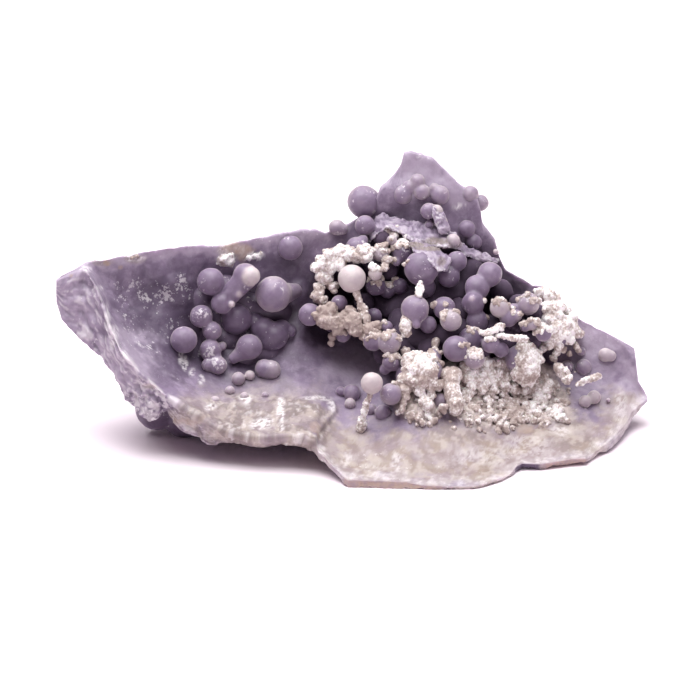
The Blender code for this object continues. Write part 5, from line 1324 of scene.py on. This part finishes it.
def mark_edge(flat, across, above, marks, in_band):
    """The coloured stretches of the broken band, and the chalky edge of the front plate."""
    tan = np.max([in_band * stretch(across, place) for place in TAN_SHADE_STRETCHES], axis=0)
    dark = in_band * stretch(across, DARK_STRETCH)
    raise_mark(marks, "tan", tan)
    raise_mark(marks, "deep", dark)
    raise_mark(marks, "beige", in_band * stretch(across, BEIGE_STRETCH))
    to_edge = above + layered_noise(flat, *EDGE_WAVES) * 0.9
    chalky = (1 - soft_step(to_edge, *CHALKY_WIDTH)) * soft_step(across, *CHALKY_FROM)
    chalky = chalky * (0.15 + 0.35 * soft_step(layered_noise(flat, *EDGE_CHALK), -0.3, 0.3))
    raise_mark(marks, "chalk", chalky)
    for label in ("beige", "frost", "chalk"):
        marks[label] = marks[label] * (1 - np.maximum(tan, dark))


def plate_grid(settings):
    """Closed rings for each place across: the broken band, the hollow, the top break and the rind.
    The front is a height over the tipped frame, raised along its normal by the relief."""
    first, last = LOW_EDGE[0][0], LOW_EDGE[-1][0]
    across = np.arange(first, last, COLUMN_STEP)[:, None]
    edge = np.concatenate([across, across * 0, across * 0], axis=1)
    jag = (layered_noise(edge, *JAGS) * JAG_HEIGHT)[:, None]
    chip = layered_noise(edge, *CHIPPING) * CHIP_HEIGHT
    up = plate_rows(across, jag)
    flat_across = np.broadcast_to(across, up.shape)
    surface = seen(flat_across, up, wall_away(across, up))
    marks = zone_marks(surface)
    relief = front_relief(surface, flat_across, up, marks)
    mark_rim(surface, across, line(TOP_EDGE, across, 1) - up, marks)
    front = surface - outward(surface) * (relief * relief_share(across, up) * settings.relief)[..., None]
    front[:, -1, 2] += chip
    share = np.linspace(1.0, 0.0, RIND_ROWS, endpoint=False)
    rind = domed(rind_rows(across, jag, share), share, coarse_rind())
    part = np.linspace(0, 1, BREAK_ROWS + 2)[1:-1][None, :, None]
    broken = front[:, -1:, :] * (1 - part) + rind[:, :1, :] * part
    broken[..., 2] += layered_noise(broken, *BREAK_ROUGH) * BREAK_HEIGHT
    rings = np.concatenate([front, broken, rind], axis=1)
    rings[..., 2] = np.maximum(rings[..., 2], 0.0)
    rest = np.zeros((len(across), rings.shape[1] - up.shape[1]))
    marks = {label: np.concatenate([values, rest], axis=1) for label, values in marks.items()}
    back = slice(up.shape[1] + BREAK_ROWS, None)
    rind = rings[:, back]
    marks["deep"][:, back] = 0.35 + 0.5 * layered_noise(rind, *RIND_DEEP)
    marks["beige"][:, back] = soft_step(layered_noise(rind, *RIND_BEIGE), 0.1, 0.7) * 0.7
    marks["dust_and_highlight"][:, back] = 0.45 * soft_step(layered_noise(rind, *RIND_DUST), 0.0, 0.4)
    return rings, marks


def mark_rim(surface, across, below, marks):
    """The pale, flecked strip along the top edge, wider on the left."""
    below_top = below + layered_noise(surface, *TOP_WAVES) * 0.9
    reach = RIM_WIDTH + RIM_WIDER * (1 - soft_step(across, *RIM_TURNS))
    near_top = 1 - soft_step(below_top, 0.3 * reach, 1.3 * reach)
    raise_mark(marks, "pale", near_top)
    raise_mark(marks, "dust_and_highlight", 0.55 * near_top)
    marks["deep"] *= 1 - 0.7 * near_top


def relief_share(across, up):
    """The share of the relief at each row and column: less near the low edge of the front plate, at the top
    row and towards both tips."""
    row = np.arange(up.shape[1])
    flattened = EDGE_FLAT + (1 - EDGE_FLAT) * soft_step(across, *EDGE_FLATTENS)
    share = 1 - (1 - np.clip(EDGE_SHARE + row / EDGE_ROWS, 0, 1)) * flattened
    share[:, -1] = TOP_SHARE
    to_tip = np.minimum(across - LOW_EDGE[0][0], LOW_EDGE[-1][0] - across) / TIP_FADE
    return share * np.clip(TIP_SHARE + to_tip, 0.0, 1.0)


def rind_rows(across, jag, share):
    """The rind from the top edge, at share 1, down to the low edge, at share 0."""
    low, top = line(LOW_EDGE, across, 1) + jag, line(TOP_EDGE, across, 1)
    up = low + (top - TOP_DROP - low) * share
    return seen(np.broadcast_to(across, up.shape), up, rind_away(across, share))


def coarse_rind():
    """The grid of the rind that the domes' places are drawn from, as in the solid."""
    columns = np.arange(LOW_EDGE[0][0], LOW_EDGE[-1][0], COARSE_STEP)
    knots = [point[0] for points in (LOW_EDGE, LIP, TOP_EDGE) for point in points]
    across = np.unique(np.round(np.concatenate([columns, knots]), 2))[:, None]
    return rind_rows(across, 0.0, np.linspace(1.0, 0.0, COARSE_ROWS, endpoint=False))


def make_plate(settings, colours):
    """The plate as one closed surface: rings joined by quads, and each tip closed by a fan of triangles."""
    rings, marks = plate_grid(settings)
    points, quads, tips = closed_tube(rings)
    marks = {label: np.concatenate([values.ravel(), [0, 0]]) for label, values in marks.items()}
    return settle(new_mesh("plate", points, [quads, tips], marks), plate_material("plate_stone", colours))


def make_balls(name, lobes, cell, settings, material, depths=None, soft=1.0, gloom=0.0):
    """Lobes fused into one skin with small fillets, each slightly uneven. With depths, places farther
    back than those limits turn almost black, as painted shade. Soft widens the fillets, gloom darkens the
    whole piece with painted shade."""
    points, quads, tone = lobes.skin(name, cell, settings.fillet / MM * soft)
    uneven = layered_noise(points, *UNEVEN) * UNEVEN_HEIGHT * settings.uneven
    points = points + vertex_normals(points, quads) * uneven[:, None]
    points[:, 2] = np.maximum(points[:, 2], 0.0)
    across, up, away = tipped(points)
    dust_and_highlight = np.maximum(zone_marks(points)["dust_and_highlight"], BALL_DUST)
    void = np.zeros(len(points))
    if depths is not None:
        # Painted shade: almost black deep in the gaps, or over the whole piece by its gloom.
        void = 1 - soft_step(wall_away(across, up) - away, *depths)
        void = np.maximum(void * patches(across, up, SHADE_ZONES, 0.0), gloom)
    return settle(new_mesh(name, points, [quads], {"tone": tone, "dust_and_highlight": dust_and_highlight, "void": void}), material)


def grown_grains(centres, radii, draw, per_area):
    """Small balls strewn over lumps in random directions from their centres, sunk by part of their size."""
    counts = np.maximum(4, (per_area * radii**2)).astype(int)
    owner, _ = numbered(counts)
    aim = draw.normal(size=(len(owner), 3))
    aim /= np.linalg.norm(aim, axis=1, keepdims=True)
    least, most = STREWN_SIZES
    size = draw.uniform(0, 1, len(owner)) ** 1.6 * (most - least) + least
    size = np.minimum(size, radii[owner] * 0.6)
    reach = radii[owner] - size * draw.uniform(0.1, 0.6, len(owner))
    return centres[owner] + aim * reach[:, None], size


def make_crust(name, lumps, seed, cell, settings, material, backing=0.0, coarse=1.0, painted_dim=0.0):
    """Popcorn crust: lumps strewn with small balls, fused in small cells, then roughened by grain domes.
    With a backing, each lump also grows back into the wall, at that share of its radius. Coarse is the
    share of the grains and of their height; the last lowers the white, as painted shade."""
    across, up, away, radii = lumps
    draw = np.random.default_rng(seed)
    centres = seen(across, up, away)
    spots, sizes = grown_grains(centres, radii * 0.95, draw, settings.grain_count * coarse)
    all_spots, all_sizes = [centres, spots], [radii * 0.94, sizes]
    if backing:
        more, wide = fingers(across, up, away, radii, radii * 0, backing).filled()
        all_spots.append(more)
        all_sizes.append(wide)
    points, quads = fused(name, np.concatenate(all_spots), np.concatenate(all_sizes), cell)
    dome, border = grains(points, settings.grain_size / MM, seed)
    small, _ = grains(points, settings.grain_size * 0.5 / MM, seed + 40)
    rough = layered_noise(points, 1.2, seed + 3, 3, 0.6)
    parts = (dome - CRUST_DOME_MIDDLE, small - CRUST_DOME_MIDDLE, rough)
    height = sum(part * weight for part, weight in zip(parts, CRUST_HEIGHTS))
    points = points + vertex_normals(points, quads) * (height * coarse)[:, None]
    points[:, 2] = np.maximum(points[:, 2], 0.0)
    across, up, away = tipped(points)
    white = np.clip(patches(across, up, WHITE, layered_noise(points, *WHITE_BORDERS) * 0.5), 0, 1)
    # White on the grains' tops, darker towards their borders and lower down: partly painted shade.
    grain = np.clip(border * 1.6, 0, 1) * 0.4 + dome * 0.3 + np.clip(rough, -0.5, 0.5) * 0.3
    grain = grain - 0.15 - painted_dim + 0.45 * white
    # Painted shade: dark in the gaps near the wall.
    void = (1 - soft_step(wall_away(across, up) - away, *CRUST_DEPTHS)) * patches(across, up, SHADE_ZONES, 0.0)
    return settle(new_mesh(name, points, [quads], {"grain": grain, "void": void}), material)


def on_wall_lumps(table):
    """Lumps given by how far they stand proud of the wall, as across, up, away, radius."""
    across, up, proud, radius = columns_of(table)
    return across, up, face_away(across, up) - proud, radius


def gravel():
    """Grains drawn at random over the floor's ellipses, as across, up, away, radius."""
    draw = np.random.default_rng(GRAVEL_SEED)
    found = []
    for middle, height, half_wide, half_high, proud, count in GRAVEL:
        turn, reach = draw.uniform(0, 2 * math.pi, count), np.sqrt(draw.uniform(0, 1, count))
        across = middle + half_wide * reach * np.cos(turn)
        up = height + half_high * reach * np.sin(turn)
        radius = GRAVEL_SIZES[0] + GRAVEL_SIZES[1] * draw.uniform(0, 1, count) ** 2.6
        away = wall_away(across, up) - floor_rise(across, up) - proud - draw.uniform(-0.2, 0.3, count)
        found.append(np.stack([across, up, away, radius]))
    return np.concatenate(found, axis=1)


def sprinkled(table):
    """Small white grains on the upper sides of heap balls: random directions with an upward and forward
    part, kept where the sprinkled zones and a chance say so, as across, up, away, radius."""
    draw = np.random.default_rng(SPRINKLE_SEED)
    across, up, away, radius, _ = columns_of(table)
    owner, _ = numbered((SPRINKLE_COUNT * radius**2).astype(int))
    aim = draw.normal(size=(len(owner), 3))
    aim[:, 1] = np.abs(aim[:, 1]) + 0.2
    aim[:, 2] = -np.abs(aim[:, 2])
    aim *= (radius[owner] / np.linalg.norm(aim, axis=1))[:, None]
    spot = np.stack([across[owner], up[owner], away[owner]], axis=-1) + aim
    chance = patches(spot[:, 0], spot[:, 1], SPRINKLED, layered_noise(spot, *SPRINKLE_GAPS) * 0.8)
    spot = spot[draw.uniform(0, 1, len(spot)) < chance]
    size = SPRINKLE_SIZES[0] + SPRINKLE_SIZES[1] * draw.uniform(0, 1, len(spot)) ** 2
    return np.concatenate([spot, size[:, None]], axis=1).T


def floor_rise(across, up):
    """How far the granular floor is raised."""
    return np.max([patches(across, up, (zone,), 0.0) for zone in BANK], axis=0)


def sheet(table):
    """Closed sheet along a path: each station is an ellipse between its top and low edge, as a grid of
    path place and turning angle, with the cosine of that angle. Ends are drawn together."""
    stations = np.array(table)
    middle = (stations[:, 0:2] + stations[:, 2:4]) / 2
    length = np.concatenate([[0], np.cumsum(np.linalg.norm(np.diff(middle, axis=0), axis=1))])
    along = np.linspace(0, length[-1], int(length[-1] / SHEET_STEP))
    column = [np.interp(along, length, stations[:, i])[:, None] for i in range(7)]
    turn = np.linspace(0, 2 * math.pi, SHEET_AROUND, endpoint=False)[None, :]
    closing = np.sqrt(np.clip(np.minimum(along, length[-1] - along) / SHEET_CLOSING, 0, 1))[:, None]
    share = 0.5 + 0.5 * np.cos(turn) * closing
    across = column[0] * share + column[2] * (1 - share)
    up = column[1] * share + column[3] * (1 - share)
    proud = column[4] * share + column[5] * (1 - share) + column[6] * np.sin(turn) * closing
    return seen(across, up, face_away(across, up) - proud), np.broadcast_to(np.cos(turn), share.shape)


def make_sheet(name, table, seed, material):
    """A rough translucent sheet with chipped edges: the closed sheet moved along its normals by fine
    noise, its edges moved in and out by ragged noise, with white crystals along its low edge."""
    grid, edge = sheet(table)
    grid[..., 2] += layered_noise(grid, 1.5, seed + 7, 4, 0.6) * SHEET_JAG * np.abs(edge) ** 3
    points, quads, caps = closed_tube(grid)
    normals = vertex_normals(points, quads)
    if np.sum(normals * (points - points.mean(axis=0))) < 0:
        normals, quads, caps = -normals, quads[:, ::-1], caps[:, ::-1]
    lumpy = layered_noise(points, 1.6, seed, 5, 0.6)
    dome, _ = grains(points, 0.5, seed + 3)
    points = points + normals * (lumpy * SHEET_LUMPS + (dome - 0.5) * SHEET_GRAINS)[:, None]
    low = np.concatenate([(-edge).ravel(), [0, 0]])
    marks = zone_marks(points)
    marks["pale"] = 0.15 + 0.4 * soft_step(lumpy, -0.3, 0.3)
    marks["void"] = np.zeros(len(points))
    marks["deep"] = soft_step(-lumpy, 0.1, 0.5) * 0.5
    marks["strata"] = soft_step(lumpy, 0.2, 0.5) * 0.25
    crystals = soft_step(layered_noise(points, 1.1, seed + 5, 4, 0.65), -0.2, 0.2)
    raise_mark(marks, "chalk", soft_step(low, 0.55, 0.9) * crystals * 0.55)
    return settle(new_mesh(name, points, [quads, caps], marks), material)


def tinted(name, description, default):
    """A colour that a user can change, as linear values."""
    return FloatVectorProperty(name=name, description=description, subtype="COLOR", default=default)


class ChalcedonyColours(bpy.types.PropertyGroup):
    """The colours of the stone and its crust, as linear values."""

    stone: tinted("Stone", "The plate's middle purple", (0.212, 0.158, 0.240))
    deep_stone: tinted("Deep stone", "The dark purple of the hollow", (0.100, 0.070, 0.119))
    pale_stone: tinted("Pale stone", "The lavender of thin edges", (0.405, 0.338, 0.430))
    streak: tinted("Streaks", "White streaks along the broken band", (0.600, 0.550, 0.580))
    ball: tinted("Balls", "Lit purple of the balls", (0.238, 0.181, 0.264))
    deep_ball: tinted("Dark balls", "The darkest balls", (0.118, 0.082, 0.136))
    pale_ball: tinted("Pale balls", "Balls with a white skin", (0.540, 0.474, 0.478))
    beige: tinted("Beige", "Smooth beige ground", (0.285, 0.222, 0.190))
    cream: tinted("Cream", "Light patches of the beige and frosted ground", (0.395, 0.333, 0.302))
    sand: tinted("Sand", "The granular floor", (0.620, 0.535, 0.505))
    frost_shade: tinted("Frost shade", "Beige between the frosted grains", (0.210, 0.165, 0.158))
    crust: tinted("Crust", "White crust", (0.900, 0.870, 0.870))
    crust_shade: tinted("Crust shade", "Beige crust", (0.570, 0.488, 0.460))
    # Partly painted shade: brown in the recesses between grains and in pores.
    shaded_crevice: tinted("Crevices", "Brown between the crust's grains", (0.380, 0.300, 0.276))
    fleck: tinted("Flecks", "White flecks", (0.800, 0.760, 0.780))
    # Painted shade: the almost black of the gaps between balls.
    void: tinted("Gaps", "The almost black gaps between balls", (0.056, 0.034, 0.062))
    # Also used on the tan stretches of the band, partly painted shade.
    tan: tinted("Tan", "Tan stains", (0.400, 0.295, 0.250))


class ChalcedonyShape(bpy.types.PropertyGroup):
    """Sizes of the fine surface."""

    relief: FloatProperty(name="Relief", description="Times the plate's relief", default=1.0,
                          min=0, max=2)
    fillet: FloatProperty(name="Fillet", description="Softness of the joints between balls", unit="LENGTH",
                          default=0.00016, min=0.00005, max=0.001)
    uneven: FloatProperty(name="Uneven", description="Times the balls' unevenness", default=1.0,
                          min=0, max=3)
    grain_size: FloatProperty(name="Grain", description="Size of the crust's grains", unit="LENGTH",
                              default=0.00052, min=0.0002, max=0.002)
    grain_count: IntProperty(name="Grain count", description="Crust balls on a lump of 1 mm radius",
                             default=22, min=1, max=60)
    ball_cell: FloatProperty(name="Ball cell", description="Cell that the balls are fused in",
                             unit="LENGTH", default=0.0002, min=0.0001, max=0.001)
    crust_cell: FloatProperty(name="Crust cell", description="Cell that the crust is fused in",
                              unit="LENGTH", default=0.00018, min=0.0001, max=0.001)


class ChalcedonyStudio(bpy.types.PropertyGroup):
    """Floor, lights and camera."""

    frame_width: FloatProperty(name="Frame width", description="Width of the picture at the specimen",
                               unit="LENGTH", default=0.11667)
    eye_distance: FloatProperty(name="Eye distance", description="From the camera to the specimen",
                                unit="LENGTH", default=2.4)
    eye_height: FloatProperty(name="Picture centre", description="Its height in the tipped frame",
                              unit="LENGTH", default=0.015)
    key_power: FloatProperty(name="Key light", description="Watts of the large light above", default=4.8)
    side_power: FloatProperty(name="Side light", description="Watts of the light at the right", default=0.7)
    fill_power: FloatProperty(name="Fill light", description="Watts of the light in front", default=0.45)
    sky: FloatProperty(name="Surround", description="Strength of the surround", default=0.22)


class OBJECT_OT_chalcedony_plate(bpy.types.Operator):
    """Build the broken plate with its hollow, its lip and its rind"""

    bl_idname = "object.chalcedony_plate"
    bl_label = "Plate"

    def execute(self, context):
        make_plate(context.scene.chalcedony_shape, context.scene.chalcedony_colours)
        return {"FINISHED"}


class OBJECT_OT_chalcedony_balls(bpy.types.Operator):
    """Build the balls on the walls, on the floor and in the heap"""

    bl_idname = "object.chalcedony_balls"
    bl_label = "Balls"

    def execute(self, context):
        shape = context.scene.chalcedony_shape
        stone = ball_material("ball_stone", context.scene.chalcedony_colours)
        cell = shape.ball_cell / MM
        left = wall_balls(LEFT_HOLLOW) + wall_lobes(LEFT_LOBES)
        make_balls("left_balls", left, cell, shape, stone, (-0.5, 1.2))
        make_balls("left_back", wall_balls(LEFT_BACK), cell * 1.6, shape, stone, (0.2, 1.4), 3.0)
        make_balls("high_balls", wall_balls(HIGH_WALL) + wall_lobes(HIGH_LOBES), cell, shape, stone)
        make_balls("floor_balls", wall_balls(FLOOR), cell, shape, stone)
        make_balls("heap_balls", heap_lobes(HEAP, 0.0), cell * 1.35, shape, stone, HEAP_DEPTHS, 1.4)
        make_balls("heap_back", heap_lobes(HEAP_BACK, HEAP_GLOOM), cell * 1.8, shape, stone, HEAP_DEPTHS, 4.0,
                   HEAP_GLOOM)
        return {"FINISHED"}


class OBJECT_OT_chalcedony_crust(bpy.types.Operator):
    """Build the white granular crust and the thin stalks"""

    bl_idname = "object.chalcedony_crust"
    bl_label = "Crust"

    def execute(self, context):
        shape = context.scene.chalcedony_shape
        stone = crust_material("crust_stone", context.scene.chalcedony_colours)
        cell = shape.crust_cell / MM
        make_crust("arch_crust", columns_of(ARCH), 5, cell, shape, stone, 0.5, 1.5)
        make_crust("clump_crust", columns_of(CLUMP), 6, cell, shape, stone, 0.5, 1.4, 0.3)
        for name, table, seed, coarse in WALL_CRUSTS:
            make_crust(name, on_wall_lumps(table), seed, cell, shape, stone, 0.7, coarse)
        make_crust("gravel_crust", gravel(), 15, cell, shape, stone)
        make_crust("sprinkled_crust", sprinkled(HEAP), 21, cell * 0.8, shape, stone)
        stalks = np.concatenate([chain(stalk, 0.2) for stalk in STALKS])
        make_crust("stalk_crust", columns_of(stalks), 14, cell * 0.8, shape, stone)
        return {"FINISHED"}


class OBJECT_OT_chalcedony_ledge(bpy.types.Operator):
    """Build the rough ledge, its slab, the chips and the swellings of the underside"""

    bl_idname = "object.chalcedony_ledge"
    bl_label = "Ledge, chips and underside"

    def execute(self, context):
        shape, colours = context.scene.chalcedony_shape, context.scene.chalcedony_colours
        stone = plate_material("ledge_stone", colours)
        for name, table, seed in (("ledge", LEDGE, 151), ("slab", SLAB, 155), ("chips", CHIPS, 159)):
            make_sheet(name, table, seed, stone)
        across, up, away, radius = columns_of(UNDERSIDE)
        centre = seen(across, up, away)
        # The swellings take the darkest ball tone, as painted shade.
        swellings = Lobes(centre, centre, radius, radius, radius * 0.0)
        make_balls("underside", swellings, 0.4, shape, ball_material("underside_shaded_stone", colours))
        return {"FINISHED"}


def area_light(name, place, aim_height, size, power):
    """A square light at a place in mm, turned towards the specimen's middle at a height."""
    lamp = bpy.data.lights.new(name, "AREA")
    lamp.size = size * MM
    lamp.energy = power
    light = bpy.data.objects.new(name, lamp)
    light.location = np.array(place) * MM
    light.rotation_euler = look_along((np.array((0, 0, aim_height)) - np.array(place)).tolist())
    bpy.context.scene.collection.objects.link(light)


def look_along(direction):
    """Turn that points an object's -Z along a direction, with its Y up."""
    return Vector(direction).to_track_quat("-Z", "Y").to_euler()


class OBJECT_OT_chalcedony_studio(bpy.types.Operator):
    """Build the pale floor, the soft lights and the camera"""

    bl_idname = "object.chalcedony_studio"
    bl_label = "Studio"

    def execute(self, context):
        studio = context.scene.chalcedony_studio
        corners = np.array([[-1, -1, 0], [1, -1, 0], [1, 1, 0], [-1, 1, 0]]) * FLOOR_HALF
        floor = new_mesh("floor", corners, [np.array([[0, 1, 2, 3]])])
        nodes = Nodes("floor_paper")
        nodes.shader.inputs["Base Color"].default_value = rgb(FLOOR_COLOUR)
        nodes.shader.inputs["Roughness"].default_value = 0.8
        floor.data.materials.append(nodes.material)
        for (name, place, aim_height, size), power in zip(
                LIGHTS, (studio.key_power, studio.side_power, studio.fill_power)):
            area_light(name, place, aim_height, size, power)
        world = bpy.data.worlds.new("surround")
        world.use_nodes = True
        backdrop = world.node_tree.nodes["Background"]
        backdrop.inputs["Color"].default_value = rgb(SURROUND_COLOUR)
        backdrop.inputs["Strength"].default_value = studio.sky
        context.scene.world = world
        context.scene.view_settings.view_transform = "Standard"
        view = bpy.data.cameras.new("camera")
        view.sensor_width = SENSOR_WIDTH
        view.lens = SENSOR_WIDTH * studio.eye_distance / studio.frame_width
        view.clip_end = VIEW_END
        camera = bpy.data.objects.new("camera", view)
        place = seen(0.0, studio.eye_height, -studio.eye_distance)
        camera.location = place
        camera.rotation_euler = look_along((seen(0.0, studio.eye_height, 0.0) - place).tolist())
        context.scene.collection.objects.link(camera)
        context.scene.camera = camera
        return {"FINISHED"}


class VIEW3D_PT_chalcedony(bpy.types.Panel):
    """Lists the operators in the sidebar"""

    bl_label = "Chalcedony"
    bl_space_type = "VIEW_3D"
    bl_region_type = "UI"
    bl_category = "Chalcedony"

    def draw(self, context):
        """One button for each operator."""
        for operator in OPERATORS:
            self.layout.operator(operator.bl_idname)


OPERATORS = (OBJECT_OT_chalcedony_plate, OBJECT_OT_chalcedony_balls, OBJECT_OT_chalcedony_crust,
             OBJECT_OT_chalcedony_ledge, OBJECT_OT_chalcedony_studio)
GROUPS = (("chalcedony_colours", ChalcedonyColours), ("chalcedony_shape", ChalcedonyShape),
          ("chalcedony_studio", ChalcedonyStudio))


def register():
    """Makes the property groups, the operators and the panel known."""
    for name, group in GROUPS:
        bpy.utils.register_class(group)
        setattr(bpy.types.Scene, name, PointerProperty(type=group))
    for made in (*OPERATORS, VIEW3D_PT_chalcedony):
        bpy.utils.register_class(made)


def unregister():
    """Takes them away again, in the opposite order."""
    for made in (VIEW3D_PT_chalcedony, *OPERATORS[::-1]):
        bpy.utils.unregister_class(made)
    for name, group in GROUPS[::-1]:
        delattr(bpy.types.Scene, name)
        bpy.utils.unregister_class(group)


def main():
    register()
    bpy.ops.object.chalcedony_studio()
    bpy.ops.object.chalcedony_plate()
    bpy.ops.object.chalcedony_balls()
    bpy.ops.object.chalcedony_crust()
    bpy.ops.object.chalcedony_ledge()


if __name__ == "__main__":
    main()
